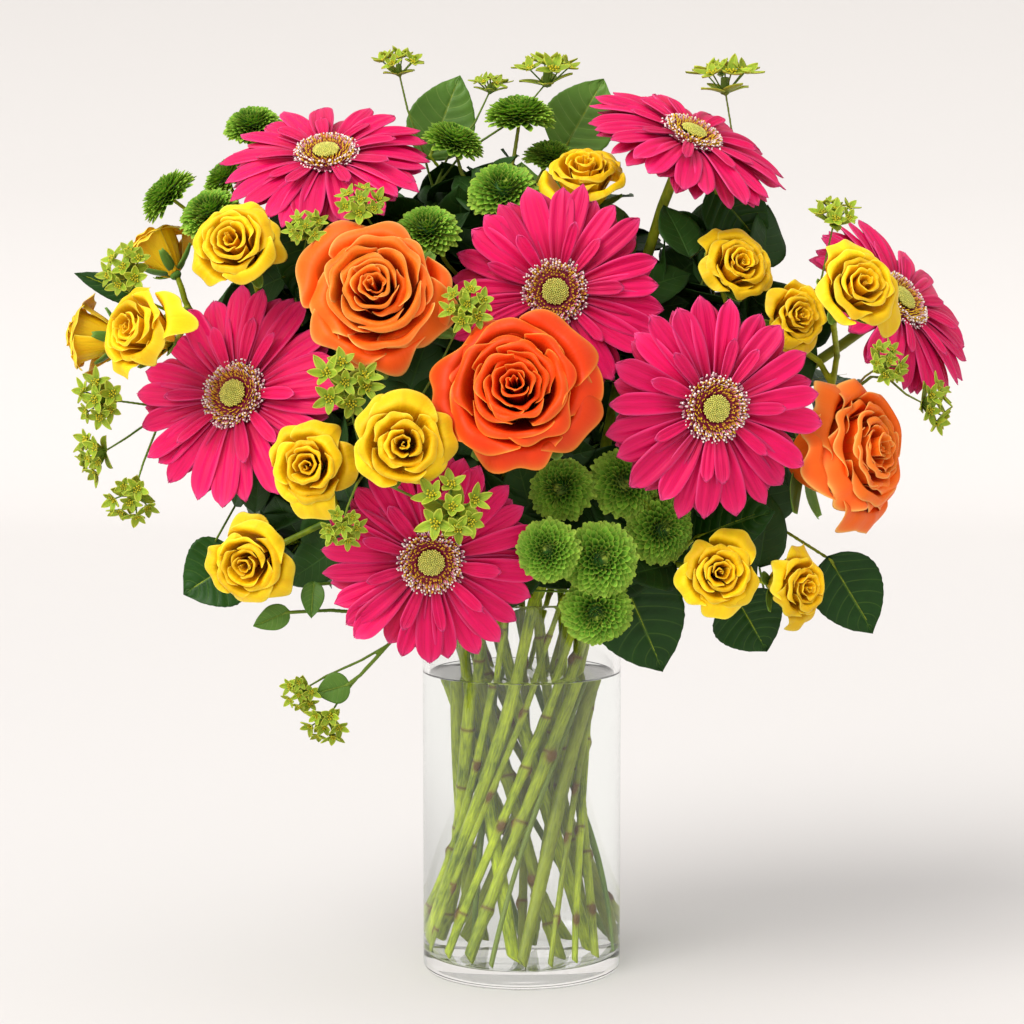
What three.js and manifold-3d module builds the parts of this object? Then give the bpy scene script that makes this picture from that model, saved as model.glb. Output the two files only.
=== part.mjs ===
// A mixed bouquet standing in a clear glass cylinder vase, part filled with water.
// Millimetres, +Z up, origin at the middle of the vase's flat underside, front of the bouquet towards -Y.
import * as THREE from "three";
import Module from "manifold-3d";

const wasm = await Module();
wasm.setup();

// ---- driving dimensions ----
const VASE_R = 50.8;
const VASE_H = 194;
const WALL = 3.4;
const FLOOR = 9;
const FOOT_CORNER = 4.5;
const WATER_BELOW_RIM = 40;
const GAP = 0.3;

const RING_TURN = 269;
const FOOT_SCATTER = 0.06;
const STEM_SIDES = 7;
const SPRAY_SIDES = 6;
const SHOOT_SIDES = 5;
const PETIOLE_SIDES = 4;

const GERBERA_STEM_R = 3.2;
const ROSE_STEM_R = 3.0;
const SPRAY_STEM_R = 2.3;
const POM_STEM_R = 1.9;
const BUPLEURUM_STEM_R = 1.4;
const LEAFY_STEM_R = 1.6;

// Stems stand in rings. A ring's stems all lean the same way round, the inner ring's against the outer's,
// and each ring narrows to a waist half way up that leaves room for its thickest stems side by side.
const THICKEST_STEM = Math.max(GERBERA_STEM_R, ROSE_STEM_R, SPRAY_STEM_R, POM_STEM_R);
const RING_INSET = 7.4;
const OUTER_RING = ringOf(VASE_R - WALL - RING_INSET, 7.17 * THICKEST_STEM, 1, 18);
const INNER_RING = ringOf(0.7 * OUTER_RING.r, 4.7 * THICKEST_STEM, -1, 8);
const CENTRE = { r: 0, twist: 0, slots: 1 };

const GERBERA_R = 52;
const GERBERA_PETALS = 22;
const GERBERA_DEPTH = 14;
const ROSE_R = 36.5;
const SPRAY_ROSE_R = 22;
const POM_R = 16;
const BUPLEURUM_R = 11;
const PETIOLE_R = 1.1;

// The places below were settled for a vase, stems and heads of these sizes; larger ones spread the bouquet out.
const SETTLED = { vase: 50.8, stem: 3.2, gerbera: 52, rose: 36.5, sprayRose: 22, pom: 16, umbel: 11 };
const SPREAD = Math.max(
  1,
  VASE_R / SETTLED.vase,
  THICKEST_STEM / SETTLED.stem,
  GERBERA_R / SETTLED.gerbera,
  ROSE_R / SETTLED.rose,
  SPRAY_ROSE_R / SETTLED.sprayRose,
  POM_R / SETTLED.pom,
  BUPLEURUM_R / SETTLED.umbel,
);

// ---- helpers ----
const rad = (degrees) => (degrees * Math.PI) / 180;

// A ring of straight stems that stand at radius r and cross at radius waist, turned one way or the other.
function ringOf(r, waist, hand, slots) {
  const twist = (hand * 2 * Math.acos(waist / r) * 180) / Math.PI;
  return { r, twist, slots };
}

const vec = ([x, y, z]) => new THREE.Vector3(x, y, z);

// A place in the bouquet, given from the middle of the vase's rim.
function place(point) {
  const p = vec(point).multiplyScalar(SPREAD);
  p.z += VASE_H;
  return p;
}

// Facing direction: azimuth from -Y towards +X, then elevation.
function facing(azimuth, elevation) {
  const a = rad(azimuth);
  const e = rad(elevation);
  return new THREE.Vector3(Math.sin(a) * Math.cos(e), -Math.cos(a) * Math.cos(e), Math.sin(e));
}

// One closed skin through a list of equal rings, with a pole closing each end.
function loft(rings, firstPole, lastPole) {
  const n = rings[0].length;
  const points = [firstPole, ...rings.flat(), lastPole];
  const last = points.length - 1;
  const index = [];
  for (let i = 0; i < n; i++) {
    const j = (i + 1) % n;
    index.push(0, 1 + j, 1 + i);
    for (let k = 0; k + 1 < rings.length; k++) {
      const a = 1 + k * n + i;
      const b = 1 + k * n + j;
      index.push(a, b, b + n, a, b + n, a + n);
    }
    index.push(last, last - n + i, last - n + j);
  }
  let volume = 0;
  for (let t = 0; t < index.length; t += 3) {
    const [a, b, c] = [points[index[t]], points[index[t + 1]], points[index[t + 2]]];
    volume += a.dot(b.clone().cross(c));
  }
  if (volume < 0) index.reverse();
  const g = new THREE.BufferGeometry();
  g.setAttribute("position", new THREE.Float32BufferAttribute(points.flatMap((p) => p.toArray()), 3));
  return g.setIndex(index);
}

function solidOf(geometry) {
  const vertProperties = new Float32Array(geometry.attributes.position.array);
  const triVerts = new Uint32Array(geometry.index.array);
  return new wasm.Manifold(new wasm.Mesh({ numProp: 3, vertProperties, triVerts }));
}

function geometryOf(solid) {
  const mesh = solid.getMesh();
  const g = new THREE.BufferGeometry();
  g.setAttribute("position", new THREE.BufferAttribute(new Float32Array(mesh.vertProperties), 3));
  return g.setIndex(new THREE.BufferAttribute(new Uint32Array(mesh.triVerts), 1));
}

const fuse = (geometries) => geometryOf(wasm.Manifold.union(geometries.map(solidOf)));

// A tapering round rod along points; the rings stay square to the path.
function rod(points, r0, r1, sides = STEM_SIDES, endDir = null) {
  const rings = [];
  const tangentAt = (i) => {
    if (endDir && i === points.length - 1) return endDir;
    const a = points[Math.max(i - 1, 0)];
    const b = points[Math.min(i + 1, points.length - 1)];
    return b.clone().sub(a).normalize();
  };
  let side = new THREE.Vector3(1, 0, 0);
  points.forEach((p, i) => {
    const t = tangentAt(i);
    side = side.clone().addScaledVector(t, -side.dot(t)).normalize();
    const up = t.clone().cross(side);
    const r = r0 + ((r1 - r0) * Math.max(0, i - 1)) / Math.max(1, points.length - 2);
    const ring = [];
    for (let k = 0; k < sides; k++) {
      const a = (2 * Math.PI * k) / sides;
      ring.push(p.clone().addScaledVector(side, r * Math.cos(a)).addScaledVector(up, r * Math.sin(a)));
    }
    rings.push(ring);
  });
  return loft(rings, points[0], points.at(-1));
}

// A smooth arc of points from a to b that leaves along u and arrives along v.
function arc(a, u, b, v, steps, ease = 0.9) {
  const reach = a.distanceTo(b) * ease;
  const points = [];
  for (let i = 0; i <= steps; i++) {
    const t = i / steps;
    const p = a.clone().multiplyScalar(2 * t ** 3 - 3 * t ** 2 + 1);
    p.addScaledVector(u, reach * (t ** 3 - 2 * t ** 2 + t));
    p.addScaledVector(b, 3 * t ** 2 - 2 * t ** 3);
    p.addScaledVector(v, reach * (t ** 3 - t ** 2));
    points.push(p);
  }
  return points;
}

// Turns a solid built around +Z so that +Z faces `axis`, and moves it to `at`.
function placed(geometry, at, axis) {
  const turn = new THREE.Quaternion().setFromUnitVectors(new THREE.Vector3(0, 0, 1), axis);
  return geometry.applyQuaternion(turn).translate(at.x, at.y, at.z);
}

// A head as a stack of lobed rings: rows of [radius, height, lobe depth], front first, between two poles.
function head(rows, frontZ, backZ, around, lobes, swirl = 0) {
  const rings = rows.map(([r, z, lobe], k) =>
    Array.from({ length: around }, (_, i) => {
      const a = (2 * Math.PI * i) / around;
      const reach = r * (1 + lobe * Math.cos(lobes * a + swirl * k));
      return new THREE.Vector3(reach * Math.cos(a), reach * Math.sin(a), z);
    }),
  );
  return loft(rings, new THREE.Vector3(0, 0, frontZ), new THREE.Vector3(0, 0, backZ));
}

// ---- heads, each around +Z ----
function gerberaHead(r, lift) {
  const rows = [
    [0.33 * r, 0, 0],
    [0.93 * r, lift - 0.8, 0.07],
    [0.9 * r, lift - 2.6, 0.06],
    [0.24 * r, -6.5, 0],
    [0.13 * r, 0.5 - GERBERA_DEPTH, 0],
  ];
  return head(rows, 0.6, -GERBERA_DEPTH, 2 * GERBERA_PETALS, GERBERA_PETALS);
}

function roseHead(r, around) {
  const rows = [
    [0.2 * r, 0.5 * r, 0.05],
    [0.34 * r, 0.36 * r, 0.05],
    [0.52 * r, 0.47 * r, 0.08],
    [0.66 * r, 0.28 * r, 0.06],
    [0.9 * r, 0.3 * r, 0.07],
    [0.95 * r, 0.08 * r, 0.06],
    [0.7 * r, -0.4 * r, 0.04],
    [0.28 * r, -0.72 * r, 0],
    [0.14 * r, -0.88 * r, 0],
  ];
  return head(rows, 0.4 * r, -0.9 * r, around, 5, 1.1);
}

function sprayRoseHead(r) {
  const rows = [
    [0.26 * r, 0.52 * r, 0.05],
    [0.5 * r, 0.4 * r, 0.08],
    [0.9 * r, 0.34 * r, 0.08],
    [0.92 * r, 0.02 * r, 0.05],
    [0.62 * r, -0.5 * r, 0],
    [0.2 * r, -0.85 * r, 0],
  ];
  return head(rows, 0.42 * r, -0.95 * r, 10, 5, 1.1);
}

function pomHead(r) {
  const rows = [
    [0.6 * r, 0.46 * r, 0],
    [0.98 * r, 0, 0],
    [0.6 * r, -0.38 * r, 0],
  ];
  return head(rows, 0.6 * r, -0.5 * r, 10, 5);
}

function umbelHead(r) {
  const rows = [
    [0.82 * r, 0.24 * r, 0.2],
    [0.16 * r, -0.55 * r, 0],
  ];
  return head(rows, 0.3 * r, -0.6 * r, 8, 4);
}

// A blade from base to tip, lens shaped in section, its face towards `face`.
function leafBlade(base, tip, face, width) {
  const along = tip.clone().sub(base);
  const length = along.length();
  along.normalize();
  const normal = face.clone().addScaledVector(along, -face.dot(along)).normalize();
  const side = along.clone().cross(normal);
  const rings = [
    [0.03, 0.1],
    [0.2, 0.78],
    [0.5, 1],
    [0.82, 0.56],
  ].map(([s, share]) => {
    const w = 0.5 * width * share;
    const fold = 0.16 * w;
    const sag = -0.1 * length * s * s;
    const thick = 0.45 + 0.35 * share;
    const mid = base.clone().addScaledVector(along, s * length).addScaledVector(normal, sag);
    return [
      mid.clone().addScaledVector(side, w).addScaledVector(normal, fold),
      mid.clone().addScaledVector(normal, thick),
      mid.clone().addScaledVector(side, -w).addScaledVector(normal, fold),
      mid.clone().addScaledVector(normal, -thick),
    ];
  });
  return loft(rings, base, tip.clone().addScaledVector(normal, -0.1 * length));
}

// ---- stems in the vase ----
// Every stem stands straight in the vase, on a line of its ring, so none meets another.
const stemLines = [];

function vaseLine(ring, slot, r) {
  const out = RING_TURN + (360 * slot) / ring.slots - 30;
  const at = (angle, z) => vec([ring.r * Math.cos(rad(angle)), ring.r * Math.sin(rad(angle)), z]);
  const rim = at(out, VASE_H);
  const foot = at(out - ring.twist, FLOOR).multiplyScalar(1 + FOOT_SCATTER * Math.sin(2.4 * slot));
  const lean = rim.clone().sub(foot).normalize();
  foot.z = FLOOR + GAP + r * Math.sqrt(1 - lean.z ** 2);
  const line = { foot, rim, dir: rim.clone().sub(foot).normalize(), r };
  stemLines.push(line);
  return line;
}

// ---- the bouquet ----
const bouquet = new THREE.Group();
bouquet.name = "gerberas_in_vase";

const PAINT = {
  glass: { color: 0xe8f1f0, transparent: true, opacity: 0.3 },
  water: { color: 0xdcecee, transparent: true, opacity: 0.35 },
  gerbera_pink: { color: 0xd81b5e },
  rose_orange: { color: 0xf4601c },
  rose_yellow: { color: 0xf0c21c },
  pom_green: { color: 0x5aa02c },
  bupleurum_green: { color: 0xa3b43a },
  leaf_green: { color: 0x2f6130 },
  stem_green: { color: 0x86a848 },
};

function add(name, geometry, paint) {
  const mesh = new THREE.Mesh(geometry, new THREE.MeshStandardMaterial(PAINT[paint]));
  mesh.name = name;
  bouquet.add(mesh);
  return mesh;
}

function lathe(profile, segments = 40) {
  const g = new THREE.LatheGeometry(profile.map(([r, z]) => new THREE.Vector2(r, z)), segments);
  return g.rotateX(Math.PI / 2);
}

// A flower on its own stem: the stem rises from its line in the vase and meets the back of the head squarely.
function flower(name, kind, ring, slot, at, azimuth, elevation, options = {}) {
  const axis = facing(azimuth, elevation);
  const { stemR, tipR, depth, geometry, paint } = kind(options);
  const line = vaseLine(ring, slot, stemR);
  const end = place(at).addScaledVector(axis, -depth - GAP);
  const rise = arc(line.rim, line.dir, end, axis, 8, options.ease);
  add(name + "_stem", rod([line.foot, ...rise], stemR, tipR, STEM_SIDES, axis), "stem_green");
  add(name + "_head", placed(geometry, place(at), axis), paint);
}

const gerbera = ({ share = 1, lift = 2 }) => ({
  stemR: GERBERA_STEM_R,
  tipR: 2.9,
  depth: GERBERA_DEPTH,
  geometry: gerberaHead(share * GERBERA_R, lift),
  paint: "gerbera_pink",
});

const rose = ({ share = 1 }) => ({
  stemR: ROSE_STEM_R,
  tipR: 2.7,
  depth: 0.9 * share * ROSE_R,
  geometry: roseHead(share * ROSE_R, 15),
  paint: "rose_orange",
});

// A branched spray: one trunk, with side shoots that leave it part way up, and what each shoot carries.
function spray(name, ring, slot, stemR, crown, crownDir, shoots, paint) {
  const line = vaseLine(ring, slot, stemR);
  const trunk = arc(line.rim, line.dir, place(crown), vec(crownDir).normalize(), 7);
  const tipR = 0.72 * stemR;
  const pieces = [rod([line.foot, ...trunk], stemR, tipR, SPRAY_SIDES)];
  const heads = [];
  for (const shoot of shoots) {
    const k = Math.min(shoot.from ?? 6, 7);
    const start = trunk[k];
    const along = trunk[Math.min(k + 1, 7)].clone().sub(trunk[k - 1]).normalize();
    const r = shoot.r ?? 0.55 * stemR;
    if (shoot.leaf) {
      const base = place(shoot.leaf[0]);
      const tip = place(shoot.leaf[1]);
      const face = facing(...shoot.face);
      const run = tip.clone().sub(base).normalize();
      const stalk = arc(start, along, base.clone().addScaledVector(run, 2), run, 3, shoot.ease);
      pieces.push(rod(stalk, r, PETIOLE_R, PETIOLE_SIDES));
      pieces.push(leafBlade(base, tip, face, SPREAD * shoot.width));
      continue;
    }
    const axis = facing(...shoot.face);
    const end = place(shoot.at).addScaledVector(axis, -shoot.depth);
    const path = arc(start, along, end, axis, 3, shoot.ease ?? 0.7);
    pieces.push(rod(path, r, shoot.tipR ?? 0.8 * r, SHOOT_SIDES, axis));
    heads.push({ shoot, axis });
  }
  return { pieces, heads };
}

function roseSpray(name, ring, slot, crown, crownDir, blooms) {
  const shoots = blooms.map(({ share = 1, ...bloom }) => ({
    ...bloom,
    size: share * SPRAY_ROSE_R,
    depth: 0.95 * share * SPRAY_ROSE_R + GAP,
    r: 0.8 * SPRAY_STEM_R,
    tipR: 0.76 * SPRAY_STEM_R,
  }));
  const { pieces, heads } = spray(name, ring, slot, SPRAY_STEM_R, crown, crownDir, shoots);
  add(name + "_stem", fuse(pieces), "stem_green");
  heads.forEach(({ shoot, axis }, i) =>
    add(name + "_bloom_" + (i + 1), placed(sprayRoseHead(shoot.size), place(shoot.at), axis), "rose_yellow"),
  );
}

function fusedSpray(name, ring, slot, stemR, crown, crownDir, shoots, headOf, paint) {
  const { pieces, heads } = spray(name, ring, slot, stemR, crown, crownDir, shoots);
  const tops = heads.map(({ shoot, axis }) => placed(headOf(shoot.size), place(shoot.at), axis));
  add(name, fuse([...pieces, ...tops]), paint);
}

const pom = (at, face, share = 1, from = 6) =>
  ({ at, face, size: share * POM_R, depth: 0.3 * share * POM_R, from, r: 0.75 * POM_STEM_R });
const umbel = (at, face, share = 1, from = 6, ease = 0.7) => {
  const size = share * BUPLEURUM_R;
  return { at, face, size, depth: 0.4 * size, from, r: 0.62 * BUPLEURUM_STEM_R, ease };
};
const leaf = (base, tip, face, width, from = 6, ease = 0.6) =>
  ({ leaf: [base, tip], face, width, from, r: 0.75 * LEAFY_STEM_R, ease });

// Gerberas.
flower("gerbera_1", gerbera, INNER_RING, 6, [-96, -40, 222], -5, 56, { lift: -5 });
flower("gerbera_2", gerbera, INNER_RING, 3, [84, -28, 232], 40, 56, { lift: -4 });
flower("gerbera_3", gerbera, OUTER_RING, 7, [193, 5, 150], 50, 34, { share: 1.04, lift: -2 });
flower("gerbera_4", gerbera, INNER_RING, 0, [16, -62, 155], -1, 6);
flower("gerbera_5", gerbera, OUTER_RING, -6, [-140, -58, 105], -24, 19, { share: 1.06 });
flower("gerbera_6", gerbera, OUTER_RING, 2, [90, -112, 101], 14, 0);
flower("gerbera_7", gerbera, OUTER_RING, -1, [-43, -112, 29], 2, -8, { share: 0.98 });

// Orange roses.
flower("orange_rose_1", rose, INNER_RING, 7, [-67, -108, 154], -6, 15);
flower("orange_rose_2", rose, OUTER_RING, 0, [-3, -132, 110], -3, 14);
flower("orange_rose_3", rose, OUTER_RING, 5, [159, -60, 77], 54, 10);

// Yellow spray roses.
roseSpray("yellow_rose_left", OUTER_RING, -8, [-166, -22, 146], [-0.6, -0.1, 0.8], [
  { at: [-137, -75, 177], face: [-12, 20], share: 1.05, from: 5 },
  { at: [-181, -20, 175], face: [-120, 50], share: 0.82, from: 7 },
  { at: [-214, -30, 132], face: [-98, 5], share: 0.86, from: 7 },
  { at: [-182, -80, 136], face: [-40, 15], from: 7 },
]);
roseSpray("yellow_rose_top", INNER_RING, 1, [31, -12, 168], [0, -0.2, 1], [
  { at: [31, -25, 210], face: [-2, 52], from: 7 },
]);
roseSpray("yellow_rose_right", INNER_RING, 2, [156, -16, 108], [0.1, -0.4, 0.9], [
  { at: [104, -50, 166], face: [20, 22], share: 0.91, from: 5 },
  { at: [131, -60, 142], face: [28, 12], share: 0.82, from: 7 },
  { at: [159, -86, 156], face: [20, 20], from: 7 },
]);
roseSpray("yellow_rose_low_left", OUTER_RING, -3, [-85, -75, 46], [-0.6, -0.7, 0.3], [
  { at: [-98, -128, 75], face: [-8, 5], from: 7 },
  { at: [-54, -146, 86], face: [0, 5], share: 1.09, from: 6 },
  { at: [-129, -95, 27], face: [-14, -6], from: 7 },
]);
roseSpray("yellow_rose_low_right", OUTER_RING, 4, [95, -50, 21], [0.6, -0.7, 0.1], [
  { at: [93, -95, 22], face: [6, 5], share: 0.91, from: 7 },
  { at: [132, -75, 13], face: [40, 0], share: 0.86, from: 7 },
]);

// Green button chrysanthemums.
fusedSpray("button_mum_left", OUTER_RING, -9, POM_STEM_R, [-135, -5, 171], [-0.5, -0.2, 0.8], [
  pom([-178, -28, 205], [-70, 45], 0.94, 7),
  pom([-154, -46, 196], [-30, 50], 0.94, 7),
  pom([-138, 18, 242], [-14, 60], 0.88, 7),
  pom([-152, 12, 215], [-60, 50], 0.81, 7),
], pomHead, "pom_green");
fusedSpray("button_mum_top", CENTRE, 0, POM_STEM_R, [-12, -5, 181], [0, 0, 1], [
  pom([-9, -38, 207], [0, 45], 1.06, 7),
  pom([-1, 2, 247], [0, 76], 1.06, 7),
  pom([-33, -5, 233], [50, 65], 0.94, 7),
  pom([15, 14, 226], [20, 70], 0.81, 7),
  pom([-46, -68, 187], [-4, 48], 0.94, 5),
], pomHead, "pom_green");
fusedSpray("button_mum_low", OUTER_RING, 1, POM_STEM_R, [28, -66, 28], [0.1, -1, 0.2], [
  pom([18, -90, 63], [-14, 26], 0.94, 6),
  pom([50, -86, 65], [14, 20], 1, 6),
  pom([68, -84, 41], [20, -2], 1, 7),
  pom([11, -122, 35], [-12, 4], 0.88, 7),
  pom([37, -112, 30], [6, 6], 1.06, 7),
  pom([35, -104, 3], [-2, -14], 1, 7),
], pomHead, "pom_green");

// Bupleurum.
fusedSpray("bupleurum_left", OUTER_RING, -7, BUPLEURUM_STEM_R, [-172, -16, 96], [-1, -0.2, 0], [
  umbel([-192, -62, 166], [-20, 20], 1.09, 7),
  umbel([-208, -48, 102], [-24, 2], 1.09, 7),
  umbel([-212, -40, 74], [-55, -15], 1.09, 7),
  umbel([-191, -58, 54], [-8, -30], 1.09, 7),
], umbelHead, "bupleurum_green");
fusedSpray("bupleurum_top", INNER_RING, 5, BUPLEURUM_STEM_R, [-45, 12, 206], [0, -0.1, 1], [
  umbel([-62, 0, 269], [0, 75], 1, 7),
  umbel([-16, 12, 260], [0, 78], 0.82, 7),
  umbel([13, 18, 267], [0, 75], 1.36, 7),
  umbel([-76, -97, 197], [3, 40], 1, 5),
  umbel([-102, -95, 185], [-4, 30], 0.82, 5),
], umbelHead, "bupleurum_green");
fusedSpray("bupleurum_right", OUTER_RING, 6, BUPLEURUM_STEM_R, [176, -12, 112], [0.6, -0.2, 0.6], [
  umbel([104, 22, 264], [0, 84], 1.45, 4),
  umbel([154, -40, 193], [12, 57], 1, 4),
  umbel([202, -50, 100], [58, 2], 1.09, 7),
  umbel([172, -98, 122], [32, 20], 0.91, 6),
], umbelHead, "bupleurum_green");
fusedSpray("bupleurum_front", OUTER_RING, -4, BUPLEURUM_STEM_R, [-74, -118, 71], [0, -1, 0.1], [
  umbel([-26, -126, 149], [0, 22], 1, 5),
  umbel([-82, -128, 113], [2, 14], 1.27, 6),
  umbel([-32, -155, 58], [2, 20], 1.36, 7),
  umbel([-82, -152, 49], [4, -10], 0.82, 7, 1.2),
], umbelHead, "bupleurum_green");
fusedSpray("bupleurum_low_left", OUTER_RING, -2, BUPLEURUM_STEM_R, [-66, -58, -18], [-0.7, -0.4, -0.5], [
  umbel([-108, -70, -40], [-18, -20], 0.82, 7),
  umbel([-96, -72, -55], [-10, -30], 0.91, 7),
  leaf([-84, -68, -36], [-100, -72, -40], [0, 0], 15, 7),
  leaf([-112, -84, 2], [-128, -92, -4], [0, 5], 12, 4),
  leaf([-100, -88, 17], [-101, -96, 1], [0, 10], 11, 4),
], umbelHead, "bupleurum_green");

// Salal leaves.
const salal = (name, ring, slot, crown, crownDir, leaves) =>
  fusedSpray(name, ring, slot, LEAFY_STEM_R, crown, crownDir, leaves, null, "leaf_green");
salal("salal_left", OUTER_RING, -5, [-98, 58, 92], [-1, 0.1, 0.8], [
  leaf([-138, -55, 25], [-166, -62, 8], [-6, 5], 34, 2, 0.3),
  leaf([-104, -28, 198], [-112, -34, 152], [5, 5], 30, 7),
  leaf([-190, 0, 150], [-224, -10, 165], [-20, 20], 12, 7),
  leaf([-112, 4, 116], [-146, -6, 158], [-20, 20], 40, 7),
  leaf([-86, -38, 52], [-98, -72, 94], [-10, 20], 32, 2, 0.4),
  leaf([-120, 30, 136], [-160, 70, 146], [-140, 30], 42, 6),
  leaf([-100, 40, 74], [-130, 85, 74], [-145, 10], 44, 5),
]);
salal("salal_top", INNER_RING, 4, [0, 30, 186], [0, 0.1, 1], [
  leaf([-48, 26, 222], [-32, 26, 266], [0, 5], 32, 7),
  leaf([21, 40, 226], [43, 40, 265], [0, 0], 34, 7),
  leaf([-38, 8, 202], [-30, -8, 158], [0, 10], 34, 7),
  leaf([38, 7, 200], [46, -9, 153], [8, 8], 32, 7),
  leaf([0, 60, 176], [0, 95, 216], [180, 35], 44, 6),
  leaf([-40, 50, 146], [-78, 85, 168], [-160, 30], 42, 5),
  leaf([40, 52, 141], [78, 88, 162], [160, 30], 42, 5),
  leaf([-20, 50, 68], [-34, 95, 56], [-170, 0], 46, 3),
  leaf([24, 50, 64], [44, 95, 50], [170, 0], 44, 3),
]);
salal("salal_right", OUTER_RING, 8, [98, 40, 56], [1, 0, 0.6], [
  leaf([96, 0, 208], [124, -4, 176], [0, 8], 30, 7),
  leaf([153, -30, 23], [177, -36, -15], [4, 10], 34, 4),
  leaf([136, 14, 96], [128, -6, 138], [20, 10], 34, 7),
  leaf([140, 40, 106], [180, 70, 116], [120, 35], 42, 7),
  leaf([112, 50, 56], [142, 92, 58], [145, 10], 44, 6),
]);
salal("salal_low", OUTER_RING, 3, [70, -40, 11], [0.7, -0.6, -0.1], [
  leaf([48, -62, 18], [70, -66, -31], [0, 12], 42, 6),
  leaf([105, -45, 6], [122, -48, -23], [0, 10], 34, 7),
  leaf([84, -52, 34], [116, -78, 52], [10, 30], 34, 6),
]);

// ---- vase and water ----
const inner = VASE_R - WALL;
add("vase", lathe([
  [0, 0],
  [VASE_R - FOOT_CORNER, 0],
  [VASE_R - 0.3 * FOOT_CORNER, 0.3 * FOOT_CORNER],
  [VASE_R, FOOT_CORNER],
  [VASE_R, VASE_H - 0.8],
  [VASE_R - 0.8, VASE_H],
  [inner + 0.8, VASE_H],
  [inner, VASE_H - 0.8],
  [inner, FLOOR + 3],
  [inner - 3, FLOOR],
  [0, FLOOR],
]), "glass");

const bowl = solidOf(mergedLathe([
  [0, FLOOR + GAP],
  [inner - 3 - GAP, FLOOR + GAP],
  [inner - GAP, FLOOR + 3 + GAP],
  [inner - GAP, VASE_H - WATER_BELOW_RIM],
  [0, VASE_H - WATER_BELOW_RIM],
]));

function mergedLathe(profile, segments = 40) {
  const rings = profile.slice(1, -1).map(([r, z]) =>
    Array.from({ length: segments }, (_, i) => {
      const a = (2 * Math.PI * i) / segments;
      return new THREE.Vector3(r * Math.sin(a), r * Math.cos(a), z);
    }),
  );
  const [first, last] = [profile[0], profile.at(-1)];
  return loft(rings, new THREE.Vector3(0, 0, first[1]), new THREE.Vector3(0, 0, last[1]));
}

const sleeves = stemLines.map(({ foot, rim, dir, r }) => {
  const low = foot.clone().addScaledVector(dir, -8);
  return solidOf(rod([low, rim], r + GAP, r + GAP));
});
add("water", geometryOf(bowl.subtract(wasm.Manifold.union(sleeves))), "water");

export default bouquet;
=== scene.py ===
"""A mixed bouquet with pink gerberas in a clear glass cylinder vase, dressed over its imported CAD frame."""

import math

import bmesh
import bpy
import numpy as np
from mathutils import Matrix, Vector


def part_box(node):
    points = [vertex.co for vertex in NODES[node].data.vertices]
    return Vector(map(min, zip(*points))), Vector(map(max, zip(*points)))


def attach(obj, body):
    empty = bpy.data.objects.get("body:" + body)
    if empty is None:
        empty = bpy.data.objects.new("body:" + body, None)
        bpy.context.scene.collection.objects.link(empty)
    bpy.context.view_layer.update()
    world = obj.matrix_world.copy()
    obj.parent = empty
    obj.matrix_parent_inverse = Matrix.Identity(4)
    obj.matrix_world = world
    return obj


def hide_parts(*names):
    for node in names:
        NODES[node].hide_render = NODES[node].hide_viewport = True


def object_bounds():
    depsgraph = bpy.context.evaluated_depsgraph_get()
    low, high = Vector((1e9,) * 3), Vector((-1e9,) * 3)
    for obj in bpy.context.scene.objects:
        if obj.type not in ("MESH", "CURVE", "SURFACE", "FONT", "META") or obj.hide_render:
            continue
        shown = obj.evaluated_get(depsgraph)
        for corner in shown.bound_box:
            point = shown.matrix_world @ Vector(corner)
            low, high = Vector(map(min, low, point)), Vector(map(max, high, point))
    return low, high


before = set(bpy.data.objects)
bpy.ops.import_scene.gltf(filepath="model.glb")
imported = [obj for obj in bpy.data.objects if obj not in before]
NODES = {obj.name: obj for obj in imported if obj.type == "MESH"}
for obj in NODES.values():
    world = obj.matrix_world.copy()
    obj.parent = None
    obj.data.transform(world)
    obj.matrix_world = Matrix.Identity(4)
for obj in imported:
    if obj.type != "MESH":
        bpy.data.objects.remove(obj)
cad_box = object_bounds()
GOLDEN = math.radians(137.508)


# ---- reading the frame ----
class Shape:
    """A CAD node's welded points, triangles and neighbours."""

    def __init__(self, name):
        mesh = NODES[name].data
        points = np.array([v.co[:] for v in mesh.vertices])
        keys, back = np.unique(np.round(points / 2e-6).astype(np.int64), axis=0, return_inverse=True)
        back = back.reshape(-1)
        self.points = np.zeros((len(keys), 3))
        self.points[back] = points
        self.faces = []
        self.near = [set() for _ in keys]
        for polygon in mesh.polygons:
            corners = [int(back[i]) for i in polygon.vertices]
            if len(set(corners)) < 3:
                continue
            self.faces.append(corners)
            for a, b in zip(corners, corners[1:] + corners[:1]):
                self.near[a].add(b)
                self.near[b].add(a)

    def layers(self, start, count):
        """Rings of points round a starting point, nearest first."""
        seen = {start}
        rings = [[start]]
        for _ in range(count):
            ring = sorted({n for i in rings[-1] for n in self.near[i]} - seen)
            if not ring:
                break
            seen |= set(ring)
            rings.append(ring)
        return rings


def unit(v):
    """The vector at length one."""
    return v / max(np.linalg.norm(v), 1e-12)


def head_pose(head, stem):
    """Back point and facing of a head that sits on the end of a stem."""
    h = Shape(head).points
    s = Shape(stem).points
    gaps = np.linalg.norm(h[:, None] - s[None], axis=2).min(axis=1)
    back = h[gaps.argmin()]
    middle = 0.5 * (h[gaps > gaps.min() + 0.002].mean(axis=0) + h.mean(axis=0))
    axis = unit(middle - back)
    along = (h - back) @ axis
    out = np.linalg.norm((h - back) - along[:, None] * axis, axis=1)
    return back, axis, along.max(), out.max()


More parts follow.
